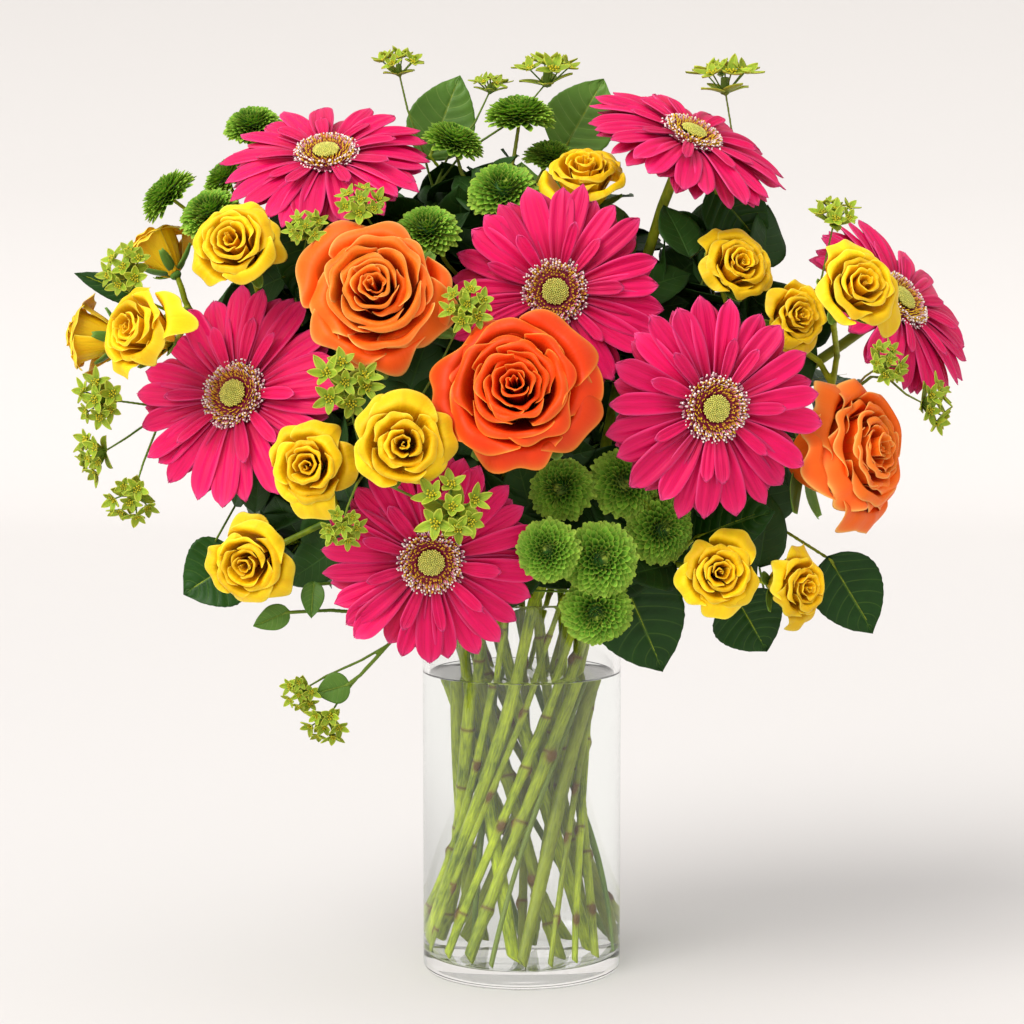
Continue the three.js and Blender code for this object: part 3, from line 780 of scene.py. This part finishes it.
def rose_head(name, stem, material, seed, slot, petals, depth_share, curl, sepal_out, size):
    """A rose with petals in a spiral from its heart to its guard petals, over a calyx."""
    rng = np.random.RandomState(seed)
    back, axis, depth, _ = head_pose(name, stem)
    radius = 1.09 * depth / depth_share
    turn = basis(axis, rng.uniform(0, 6))
    centre = back + axis * ((depth_share - 0.5) * radius - 0.0005)
    parts = []
    for k in range(petals):
        q = (k / (petals - 1)) ** 0.88
        azimuth = k * GOLDEN + rng.normal(0, 0.16)
        lip = (0.015 + curl * q**0.8 + 0.07 * (q > 0.8)) * rng.uniform(0.75, 1.2)
        parts.append(rose_petal(rng, radius, q, azimuth, lip, *size))
    parts = placed(parts, turn, centre)
    thick = 0.0004 if radius > 0.03 else 0.0003
    bloom = mesh_object(name + "_petals", parts, material, cad=[name], thick=thick)
    bloom.modifiers.new("finer", "SUBSURF").render_levels = 1
    green = placed(rose_calyx(rng, radius, -(depth_share - 0.5), sepal_out), turn, centre)
    mesh_object(name + "_calyx", green, SEPAL, cad=[name], thick=0.0004)


# ---- button mums ----
def mum_dome(rng, at, axis, radius, count=230):
    """Short spooned petals in a spiral over a dome: tight buds at the middle, spreading at the edge. The
    petals are coloured darker towards their bases and the dome's middle, partly the mum's own green heart and
    partly painted shade between the petals.
    """
    patches = []
    turn = basis(axis, rng.uniform(0, 6))
    u, v = grid(5, 6)
    for k in range(3, count):
        share = math.sqrt((k + 0.5) / count)
        tilt = math.radians(3 + 104 * share**1.1) + rng.normal(0, 0.035)
        length = radius * (0.12 + 0.52 * share) * rng.uniform(0.9, 1.1)
        width = radius * (0.13 + 0.13 * share)
        core = radius * (0.42 + 0.02 * share)
        d = np.array([math.sin(tilt), math.cos(tilt)])
        side = np.array([-math.cos(tilt), math.sin(tilt)])
        round_tip = np.sqrt(np.clip(1 - np.clip((v - 0.7) / 0.3, 0, 1) ** 2 * 0.9, 0, 1))
        w = 0.5 * width * (0.5 + 0.5 * np.sin(np.pi * np.clip(0.1 + 0.62 * v, 0, 1))) * round_tip
        lift = (0.16 - 0.1 * share) * length * v**2 + 0.5 * w * np.abs(u) ** 2
        flat = core + length * v
        x = d[0] * flat + side[0] * lift
        z = (d[1] * flat + side[1] * lift) * 0.86 - 0.26 * radius
        y = w * u
        az = k * GOLDEN
        c, s = math.cos(az), math.sin(az)
        points = np.stack([x * c - y * s, x * s + y * c, z], axis=-1)
        # Colour runs from the dark foot at the base to the pale tip, and inner petals stay darker: partly the
        # mum's own green heart, partly painted shade in the gaps between petals.
        light = 0.15 + 0.85 * v * (0.45 + 0.55 * share)
        patches.append(Patch(points, 5, 6, 0.5 + 0.5 * u, light, share, rng.random()).moved(turn, at))
    profile = [(0.0, 0.13), (0.2, 0.11), (0.38, 0.0), (0.42, -0.2), (0.2, -0.42), (0.05, -0.5)]
    core = ring_cup([(r * radius, z * radius) for r, z in profile], 20)
    # The core takes the dark foot colour: partly the mum's green heart, partly painted shade in the pit.
    core.tone[:, 1] = 0.1
    core.tone[:, 2] = 0.0
    patches.append(core.moved(turn, at))
    return patches


# ---- bupleurum ----
def umbellet(rng, size):
    """A star of pointed bracts under a tuft of florets."""
    root = [(0.02 * size, 0.0)] * 5
    length = size * rng.uniform(1.0, 1.6, 5)
    width = np.full(5, 0.72 * size)
    pitch = 0.35 + rng.normal(0, 0.2, 5)
    bracts = straps(
        5, rng, root, length, width, pitch, round_angles(5), 0.4, nu=5, nv=8, curl=0.25, cup=0.2, pointed=True
    )
    florets = []
    for k in range(11):
        r = 0.4 * size * math.sqrt((k + 0.5) / 11)
        height = 0.14 * size + rng.uniform(0, 0.14) * size
        at = (r * math.cos(k * GOLDEN), r * math.sin(k * GOLDEN), height)
        florets.append(bud(rng, at, 0.085 * size, 0.5))
    return bracts, florets


def umbel(rng, at, axis, radius):
    """Seven rays, each to a small umbellet, over a collar of four bracts."""
    bracts, florets, rays = [], [], []
    turn = basis(axis, rng.uniform(0, 6))
    root = np.array([0, 0, -0.52 * radius])
    spots = [(0.0, 0.0)] + [(0.62, 2 * math.pi * k / 6 + rng.normal(0, 0.15)) for k in range(6)]
    for share, angle in spots:
        lean = 0.75 * share
        height = radius * (0.16 - 0.22 * share**2) + rng.normal(0, 0.03) * radius
        spot = np.array([share * radius * math.cos(angle), share * radius * math.sin(angle), height])
        face = np.array([math.sin(lean) * math.cos(angle), math.sin(lean) * math.sin(angle), math.cos(lean)])
        small = basis(face, rng.uniform(0, 6))
        star, tuft = umbellet(rng, radius * rng.uniform(0.34, 0.44))
        bracts += placed(placed(star, small, spot), turn, at)
        florets += placed(placed(tuft, small, spot), turn, at)
        rays.append(thin_rod(root, spot, 0.00042, rng).moved(turn, at))
    root = [(0.0005, -0.5 * radius)] * 4
    length = np.full(4, 0.85 * radius)
    width = np.full(4, 0.5 * radius)
    pitch = 0.5 + rng.normal(0, 0.15, 4)
    angle = rng.uniform(0, 1) + round_angles(4)
    collar = straps(
        4, rng, root, length, width, pitch, angle, 0.2, nu=5, nv=8, curl=-0.4, cup=0.12, pointed=True
    )
    return bracts + placed(collar, turn, at), florets, rays


def thin_rod(a, b, r, rng, around=5, steps=4):
    """A fine straight stalk between two points."""
    axis = basis(b - a)
    k, t = np.meshgrid(np.linspace(0, 2 * math.pi, around + 1), np.linspace(0, 1, steps + 1), indexing="ij")
    points = a + t[..., None] * (b - a) + r * (
        np.cos(k)[..., None] * axis[:, 0] + np.sin(k)[..., None] * axis[:, 1]
    )
    return Patch(points, around + 1, steps + 1, k / 6.2832, t, 0.0, rng.random())


# ---- leaves ----
def leaf_patch(rng, base, tip, normal, width, nu=25, nv=30, sag=0.1, pairs=6):
    """An ovate blade with a sunk midrib, arched side veins, a softly wavy edge and a fine tip."""
    along = tip - base
    length = np.linalg.norm(along)
    along = unit(along)
    normal = unit(normal - (normal @ along) * along)
    side = np.cross(along, normal)
    u, v = grid(nu, nv)
    shape = np.sin(np.pi * np.clip(v, 0, 1) ** 0.82) ** 0.72 * (1 - 0.25 * v)
    shape = np.where(v > 0.86, shape * (1 - 0.35 * ((v - 0.86) / 0.14)), shape) / 0.86
    teeth = 1 + 0.012 * np.sin(v * 110) * (np.abs(u) ** 8)
    w = 0.5 * width * np.clip(shape, 0, 1.05) * teeth
    arch = 0.2 * np.abs(u) ** 1.3
    vein = np.exp(-((u / 0.05) ** 2))
    for k in range(pairs):
        line = 0.08 + 0.8 * k / pairs + arch
        vein = np.maximum(vein, np.exp(-(((v - line) / 0.011) ** 2)) * (1 - 0.55 * np.abs(u)))
    fold = 0.13 * rng.uniform(0.6, 1.4)
    curve = -sag * length * v**2
    ripple = 0.035 * width * np.sin(v * 9 + rng.uniform(0, 6) + np.sign(u)) * np.abs(u) ** 2
    puff = 0.012 * width * np.sin(
        (v - arch) * 2 * np.pi * pairs / 0.8
    ) * (1 - np.abs(u) ** 4) * (np.abs(u) > 0.05)
    z = curve + fold * np.abs(w * u) + ripple + puff - 0.0004 * vein
    points = base + (v * length)[..., None] * along + (w * u)[..., None] * side + z[..., None] * normal
    return Patch(points, nu, nv, 0.5 + 0.5 * u, v, 0.0, rng.random())


def leaf_pieces(rng, leaves, pull=1.0, **shape):
    """A blade for each leaf of (base, tip, normal, width)."""
    return [leaf_patch(rng, base, tip, normal, width * pull, **shape) for base, tip, normal, width in leaves]


# ---- stems and the woody part of each spray ----
def stem_line(shape):
    """Foot and rim points of the straight run in the vase."""
    low = shape.points[shape.points[:, 2].argmin()]
    foot = shape.points[np.linalg.norm(shape.points - low, axis=1) < 0.0085].mean(axis=0)
    ring = shape.points[np.abs(shape.points[:, 2] - vase_h) < 0.0022]
    ring = ring[np.linalg.norm(ring[:, :2], axis=1) < vase_inner]
    return foot, ring.mean(axis=0)


def blended_rods(name, points, faces, voxel):
    """The CAD rods as one smooth mesh, rounded at their forks."""
    mesh = bpy.data.meshes.new(name + "_rods")
    mesh.from_pydata(points.tolist(), [], faces)
    obj = new_object(name + "_stalks", mesh)
    remesh = obj.modifiers.new("blend", "REMESH")
    remesh.mode = "VOXEL"
    remesh.voxel_size = voxel
    smooth = obj.modifiers.new("soften", "SMOOTH")
    smooth.factor = 0.6
    smooth.iterations = 6
    evaluated = obj.evaluated_get(bpy.context.evaluated_depsgraph_get())
    made = bpy.data.meshes.new_from_object(evaluated)
    obj.modifiers.clear()
    obj.data = made
    return obj


def knuckles(rng, s, angle, run, r0):
    """Swellings along the stem: how far each point is pushed out, and how brown its leaf scar is."""
    push = np.zeros(len(s))
    scar = np.zeros(len(s))
    at = rng.uniform(0.012, 0.03)
    while at < run + 0.02:
        facing = rng.uniform(-math.pi, math.pi)
        near = np.exp(-(((s - at) / 0.003) ** 2))
        side = np.exp(-(((np.angle(np.exp(1j * (angle - facing)))) / 0.85) ** 2))
        push += near * (0.14 * r0 + 0.5 * r0 * side)
        scar = np.maximum(scar, near * side * 1.4)
        scar = np.maximum(scar, 0.75 * np.exp(-(((s - at - 0.0018) / 0.0009) ** 2)))
        at += rng.uniform(0.024, 0.052)
    return push, scar


def grown_stem(name, material, knots, voxel=0.00055, organs=None):
    """The CAD rods, blended at their forks, with leaf scars and knuckles on the run in the vase."""
    shape = Shape(name)
    points = shape.points.copy()
    foot, rim = stem_line(shape)
    if organs:
        organs(shape, points)
    obj = blended_rods(name, points, shape.faces, voxel)
    made = obj.data
    rng = np.random.RandomState(sum(map(ord, name)))
    p = np.zeros(len(made.vertices) * 3)
    made.vertices.foreach_get("co", p)
    p = p.reshape(-1, 3)
    direction = unit(rim - foot)
    run = np.linalg.norm(rim - foot)
    s = (p - foot) @ direction
    radial = (p - foot) - s[:, None] * direction
    reach = np.linalg.norm(radial, axis=1)
    inside = (s < run + 0.004) & (reach < 0.009)
    sides = basis(direction)
    angle = np.arctan2(radial @ sides[:, 1], radial @ sides[:, 0])
    r0 = np.median(reach[inside]) if inside.any() else 0.003
    push, scar = knuckles(rng, s, angle, run, r0) if knots else (np.zeros(len(p)), np.zeros(len(p)))
    push += 0.03 * r0 * np.sin(angle * 5 + rng.uniform(0, 6)) + 0.05 * r0 * np.sin(s * 60 + rng.uniform(0, 6))
    push = np.where(inside, push, 0)
    bend = np.sin(np.pi * np.clip(s / run, 0, 1)) * rng.uniform(-0.0022, 0.0022)
    sway = unit(sides[:, 0] * rng.normal() + sides[:, 1] * rng.normal())
    wobble = np.sin(2.3 * np.pi * np.clip(s / run, 0, 1)) * rng.uniform(-0.001, 0.001)
    out = radial / np.maximum(reach, 1e-9)[:, None]
    p = p + push[:, None] * out + np.where(inside, bend + wobble, 0)[:, None] * sway
    slant = np.clip(1 - s / 0.006, 0, 1) * inside
    p = p + (slant * (0.9 * (radial @ sides[:, 0]) + 0.7 * r0))[:, None] * direction
    cut = np.clip(1 - s / 0.0012, 0, 1) * inside
    scar = np.where(inside, scar, 0) * (1 - cut)
    made.vertices.foreach_set("co", p.astype(np.float32).ravel())
    rand = np.full(len(p), rng.random())
    store_tones(made, np.stack([angle / (2 * math.pi) + 0.5, np.clip(s, -1, 1) * 4, scar, rand], axis=1))
    smooth_faces(made)
    made.materials.clear()
    made.materials.append(material)
    made.update()
    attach(obj, "root")
    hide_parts(name)


def shrink_domes(found, share, sink=0.3):
    """Draw each CAD dome in to a small knob, so that the petals can take its place."""

    def act(shape, points):
        for _, middle, axis, radius, rings in found:
            heart = middle - sink * radius * axis
            for i in {i for ring in rings for i in ring}:
                points[i] = heart + (points[i] - heart) * share

    return act


def shrink_blades(found):
    """Draw each CAD leaf in to a thin stalk along its midrib."""

    def act(shape, points):
        for _, tip, normal, _, rings, mids in found:
            for ring, middle in zip(rings[1:4], mids):
                for i in ring:
                    offset = shape.points[i] - middle
                    points[i] = middle + unit(offset) * 0.0005 - normal * 0.0006
            points[rings[0][0]] = mids[0] + 0.35 * (tip - mids[0])

    return act


# ---- vase and water ----
def turned(name, profile, segments, material, cad):
    """A closed turned solid; the profile runs from the axis back to the axis."""
    rows = len(profile) - 2
    mesh = bpy.data.meshes.new(name)
    bm = bmesh.new()
    first = bm.verts.new((0, 0, profile[0][1]))
    last = bm.verts.new((0, 0, profile[-1][1]))
    rings = []
    for r, z in profile[1:-1]:
        rings.append([bm.verts.new((r * math.cos(a), r * math.sin(a), z)) for a in round_angles(segments)])
    for i in range(segments):
        j = (i + 1) % segments
        bm.faces.new((first, rings[0][j], rings[0][i]))
        for k in range(rows - 1):
            bm.faces.new((rings[k][i], rings[k][j], rings[k + 1][j], rings[k + 1][i]))
        bm.faces.new((last, rings[-1][i], rings[-1][j]))
    bmesh.ops.recalc_face_normals(bm, faces=bm.faces)
    bm.to_mesh(mesh)
    bm.free()
    smooth_faces(mesh)
    obj = new_object(name, mesh)
    mesh.materials.append(material)
    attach(obj, "root")
    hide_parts(cad)


def fillet(corner, r, start, end, steps=8):
    """Points of an arc about `corner`, from one angle to another in degrees."""
    angles = np.radians(np.linspace(start, end, steps))
    return [(corner[0] + r * math.cos(a), corner[1] + r * math.sin(a)) for a in angles]


vase_points = Shape("vase").points
vase_radius = np.linalg.norm(vase_points[:, :2], axis=1)
vase_r = vase_radius.max()
vase_h = vase_points[:, 2].max()
vase_inner = np.unique(np.round(vase_radius[(vase_points[:, 2] > 0.9 * vase_h)], 5))[0]
floor_z = vase_points[(vase_radius < 1e-4), 2].max()
water_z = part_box("water")[1][2]


def inner_bend(reach, bend, drop, degrees):
    """Points of the rounded corner between the wall and the floor inside the vase."""
    angles = [math.radians(a) for a in degrees]
    return [(reach - bend + bend * math.cos(a), floor_z + bend - drop * math.sin(a)) for a in angles]


def vase():
    """The glass: a thick base, a rounded foot and lip, and a rounded corner inside."""
    foot = 0.0045
    lip = (vase_r - vase_inner) / 2
    bend = 0.005
    ease = 0.0006
    lead = 0.003
    shoulder = vase_h - lip
    corner = floor_z + bend
    profile = [(0, 0.0004), (0.6 * vase_r, 0.0004), (0.8 * vase_r, 0.0002), (vase_r - foot - ease, 0.0)]
    profile += fillet((vase_r - foot, foot), foot, -90, 0, 10)
    profile += [
        (vase_r, z) for z in (foot + ease, foot + lead, 0.5 * vase_h, shoulder - lead, shoulder - ease)
    ]
    profile += fillet((vase_r - lip, shoulder), lip, 0, 180, 12)
    profile += [(vase_inner, z) for z in (shoulder - ease, shoulder - lead, 0.5 * vase_h)]
    profile += [(vase_inner, corner + lead), (vase_inner, corner + ease)]
    profile += inner_bend(vase_inner, bend, bend, (12, 30, 48, 66, 80, 90))
    profile += [
        (vase_inner - bend - ease, floor_z), (0.5 * vase_inner, floor_z - 0.0003), (0, floor_z - 0.0004)
    ]
    turned("vase_glass", profile, 192, GLASS, "vase")


def water():
    """The water: a hair into the glass at its wall and floor, with a raised edge where it meets the wall."""
    into = 0.00012
    reach = vase_inner + into
    bend = 0.005
    ease = 0.0006
    corner = floor_z + bend
    profile = [(0, floor_z - 0.0006), (0.5 * reach, floor_z - 0.0005), (reach - bend - ease, floor_z - into)]
    profile += inner_bend(reach, bend, bend + into, (90, 80, 66, 48, 30, 12))
    profile += [(reach, corner + ease), (reach, corner + 0.003), (reach, 0.5 * water_z)]
    profile += [(reach, water_z - 0.002), (reach, water_z + 0.0008), (reach, water_z + 0.0014)]
    for d in (0.0001, 0.0004, 0.0009, 0.0016, 0.0026, 0.004, 0.006):
        profile.append((reach - d, water_z + 0.0014 * math.exp(-d / 0.0012)))
    profile += [(reach - 0.009, water_z), (0.4 * reach, water_z), (0, water_z)]
    turned("water_body", profile, 160, WATER, "water")


# ---- the bouquet ----
def stem_of(node):
    """Name of the stem that a head sits on."""
    if node.endswith("_head"):
        return node.replace("_head", "_stem")
    return node[: node.index("_bloom_")] + "_stem"


def bouquet():
    """Every node of the CAD, dressed."""
    vase()
    water()
    for number in range(1, 8):
        gerbera(number)
        grown_stem(f"gerbera_{number}_stem", STEM, knots=False, voxel=0.0007)
    for number in range(1, 4):
        head = f"orange_rose_{number}_head"
        rose_head(head, stem_of(head), CORAL if number == 2 else ORANGE, 200 + number, **ORANGE_ROSE)
        grown_stem(stem_of(head), STEM, knots=True, voxel=0.0007)
    for node in sorted(NODES):
        if node.startswith("yellow_rose") and "_bloom_" in node:
            rose_head(node, stem_of(node), YELLOW, 300 + sum(map(ord, node)) % 97, **YELLOW_ROSE)
        elif node.startswith("yellow_rose"):
            grown_stem(node, STEM, knots=True)
        elif node.startswith("button_mum"):
            mum_spray(node)
        elif node.startswith("bupleurum"):
            bupleurum_spray(node)
        elif node.startswith("salal"):
            salal_spray(node)
    inner_foliage()


def mum_spray(node):
    """A branched spray of button chrysanthemums."""
    rng = np.random.RandomState(400 + sum(map(ord, node)) % 89)
    found = domes_in(Shape(node), **MUM_DOMES)
    grown_stem(node, STEM, knots=True, organs=shrink_domes(found, 0.2, 0.62))
    patches = []
    for _, middle, axis, radius, _ in found:
        centre = middle - 0.46 * radius * axis
        patches += mum_dome(rng, centre + 0.02 * radius * axis, axis, radius * 1.04)
    mesh_object(node + "_petals", patches, MUM, cad=[node])


def bupleurum_spray(node):
    """A fine spray with umbels and, where the CAD has them, leaves."""
    shape = Shape(node)
    rng = np.random.RandomState(500 + sum(map(ord, node)) % 89)
    found = domes_in(shape, 8, 1, 0.82)
    blades = blades_in(shape)
    shrinks = (shrink_domes(found, 0.16), shrink_blades(blades))

    def organs(shape, points):
        for shrink in shrinks:
            shrink(shape, points)

    grown_stem(node, TWIG, knots=False, voxel=0.00045, organs=organs)
    bracts, florets, rays = [], [], []
    for _, middle, axis, radius, _ in found:
        b, f, r = umbel(rng, middle - 0.24 * radius * axis, axis, radius * 1.12)
        bracts += b
        florets += f
        rays += r
    mesh_object(node + "_bracts", bracts, BRACT, cad=[node], thick=0.0002)
    mesh_object(node + "_florets", florets, FLORET, cad=[node])
    mesh_object(node + "_rays", rays, TWIG, cad=[node])
    if blades:
        leaves = leaf_pieces(rng, [blade[:4] for blade in blades], nu=15, nv=16, pairs=4)
        mesh_object(node + "_leaves", leaves, FRESH, cad=[node], thick=0.0003)


def salal_spray(node):
    """A leafy stem."""
    rng = np.random.RandomState(600 + sum(map(ord, node)) % 89)
    blades = blades_in(Shape(node))
    grown_stem(node, STEM, knots=True, organs=shrink_blades(blades))
    leaves = leaf_pieces(rng, [blade[:4] for blade in blades], pull=1.06)
    material = FRESH if node == "salal_top" else SALAL
    mesh_object(node + "_leaves", leaves, material, cad=[node], thick=0.0004)


def head_discs():
    """Centre, facing and reach of every flower head, so that leaves can stay behind them."""
    discs = []
    for node in sorted(NODES):
        if node.endswith("_head") or "_bloom_" in node:
            back, axis, depth, reach = head_pose(node, stem_of(node))
            discs.append((back, axis, reach, depth))
        elif node.startswith("button_mum"):
            for _, middle, axis, radius, _ in domes_in(Shape(node), **MUM_DOMES):
                discs.append((middle - 0.5 * radius * axis, axis, 1.05 * radius, radius))
    return discs


def hides_a_head(points, discs):
    """Whether any of the points lies in a head or in front of one."""
    for back, axis, reach, depth in discs:
        along = (points - back) @ axis
        out = np.linalg.norm(points - back - along[:, None] * axis, axis=1)
        if ((along > -0.001) & (along < depth + 0.07) & (out < 1.1 * reach)).any():
            return True
    return False


def outside(points):
    """Whether any point lies below the rim, past the bouquet's own box, or past its rounded lower edge."""
    low, high = np.array(cad_box[0]) + 0.002, np.array(cad_box[1]) - 0.002
    shoulder = 0.115 + 0.6 * np.clip(points[:, 2] - vase_h, 0, 0.1)
    spread = np.abs(points[:, 0]) > np.minimum(shoulder, INNER_REACH[0])
    too_low = points[:, 2].min() < vase_h + 0.004
    return (points < low).any() or (points > high).any() or too_low or spread.any()


def inner_leaf(rng, azimuth, rise):
    """Base, tip and facing of one inner leaf, its length, and four points that show where it reaches."""
    out = np.array([math.cos(azimuth) * math.cos(rise), math.sin(azimuth) * math.cos(rise), math.sin(rise)])
    full = (np.abs(out) ** 3).sum() ** (-1 / 3)
    heart = np.array([0.0, -0.004, vase_h + 0.012])
    base = heart + full * out * INNER_REACH * rng.uniform(0.55, 0.97)
    span = rng.uniform(0.032, 0.052)
    lean = unit(np.cross(out, rng.normal(0, 1, 3)) + 0.3 * out + np.array([0, 0, 0.2]))
    tip = base + lean * span
    normal = unit(out + np.array([0, -0.5, 0]) + rng.normal(0, 0.25, 3))
    side = unit(np.cross(lean, normal)) * 0.37 * span
    tests = np.array([base, tip, 0.5 * (base + tip) + side, 0.5 * (base + tip) - side])
    return base, tip, normal, span, tests


def inner_foliage():
    """Leaves deep in the bouquet that close the gaps between the heads, on thin stalks from the salal."""
    rng = np.random.RandomState(71)
    nodes = [n for n in sorted(NODES) if n.startswith("salal")]
    twigs = {}
    for node in nodes:
        points = Shape(node).points
        twigs[node] = points[points[:, 2] > vase_h + 0.005]
    grown = {node: ([], []) for node in nodes}
    discs = head_discs()
    count = 1150
    for k in range(count):
        rise = math.asin(-0.1 + 1.1 * (k + 0.5) / count)
        base, tip, normal, span, tests = inner_leaf(rng, k * GOLDEN, rise)
        if outside(tests) or hides_a_head(tests, discs):
            continue
        gaps = {node: np.linalg.norm(twigs[node] - base, axis=1) for node in nodes}
        node = min(nodes, key=lambda n: gaps[n].min())
        start = twigs[node][gaps[node].argmin()]
        leaves, stalks = grown[node]
        leaves.append((base, tip, normal, span * rng.uniform(0.58, 0.75)))
        stalks.append(thin_rod(start, base, 0.0006, rng))
    for node, (leaves, stalks) in grown.items():
        patches = leaf_pieces(rng, leaves, nu=11, nv=14, pairs=4)
        mesh_object(node + "_inner_leaves", patches, DEEP, cad=[node], thick=0.0003)
        mesh_object(node + "_inner_stalks", stalks, TWIG, cad=[node])


# ---- studio ----
def paper_material():
    """Pale paper, painted a little lighter on the floor than up the sweep: painted light that brightens the
    floor and the shadow on it.
    """
    mat, tree, shader = new_material("studio paper")
    split = tree.nodes.new("ShaderNodeSeparateXYZ")
    tree.links.new(object_place(tree), split.inputs[0])
    rise = Value(tree, split.outputs["Z"]) / 0.5
    # Painted light: the floor's paper is coloured lighter than the wall's, standing in for the floor catching
    # more light.
    colour = mix_colour(tree, rise.clamped(), [0.715, 0.697, 0.685, 1.0], [0.635, 0.618, 0.605, 1.0])
    feed(tree, colour, shader.inputs["Base Color"])
    shader.inputs["Roughness"].default_value = 0.8
    shader.inputs["Specular IOR Level"].default_value = 0.1
    return mat


def look_along(direction):
    """Rotation of a lamp or camera that looks along the direction."""
    return direction.to_track_quat("-Z", "Y").to_euler()


def camera():
    """The photo's view: nearly level, from a little above the middle of the bouquet."""
    lens = bpy.data.cameras.new("camera")
    lens.lens = 97.5
    lens.sensor_width = 36
    obj = new_object("camera", lens)
    place, aim = Vector((-0.005, -1.41, 0.36)), Vector((-0.005, 0, 0.2365))
    obj.location = place
    obj.rotation_euler = look_along(aim - place)
    bpy.context.scene.camera = obj


def backdrop():
    """A floor that sweeps up into a wall well behind the bouquet."""
    mesh = bpy.data.meshes.new("backdrop")
    bm = bmesh.new()
    turn_y, turn_r, wall_top, half_width = 2.4, 1.0, 5.0, 7
    sweep = [(-6.0, 0.0), (turn_y, 0.0)]
    sweep += fillet((turn_y, turn_r), turn_r, -84, 0, 15)
    sweep += [(turn_y + turn_r, wall_top)]
    rows = [[bm.verts.new((x, y, z)) for x in (-half_width, half_width)] for y, z in sweep]
    for a, b in zip(rows, rows[1:]):
        bm.faces.new((a[0], a[1], b[1], b[0]))
    bm.to_mesh(mesh)
    bm.free()
    smooth_faces(mesh)
    floor = new_object("backdrop", mesh)
    mesh.materials.append(paper_material())


def lamps():
    """A soft white room, a broad sun from the upper left, and two weak lamps in front and above."""
    world = bpy.data.worlds.new("studio")
    bpy.context.scene.world = world
    world.use_nodes = True
    background = world.node_tree.nodes["Background"]
    background.inputs[0].default_value = (1.0, 0.988, 0.978, 1)
    background.inputs[1].default_value = 0.8
    sun = bpy.data.lights.new("key", "SUN")
    sun.energy = 2.42
    sun.angle = math.radians(42)
    sun.color = (1.0, 0.975, 0.95)
    new_object("key", sun).rotation_euler = look_along(Vector((0.52, 0.55, -0.66)))
    for name, at, size, power in (
        ("front", (-0.5, -1.3, 0.6), 0.8, 2.0), ("top", (-0.3, -0.2, 1.2), 0.6, 1.0)
    ):
        light = bpy.data.lights.new(name, "AREA")
        light.size = size
        light.energy = power
        lamp = new_object(name, light)
        lamp.location = at
        lamp.rotation_euler = look_along(Vector((0, 0, 0.25)) - Vector(at))


def studio():
    """Camera, backdrop and light."""
    camera()
    backdrop()
    lamps()
    bpy.context.scene.view_settings.view_transform = "Standard"


studio()
bouquet()
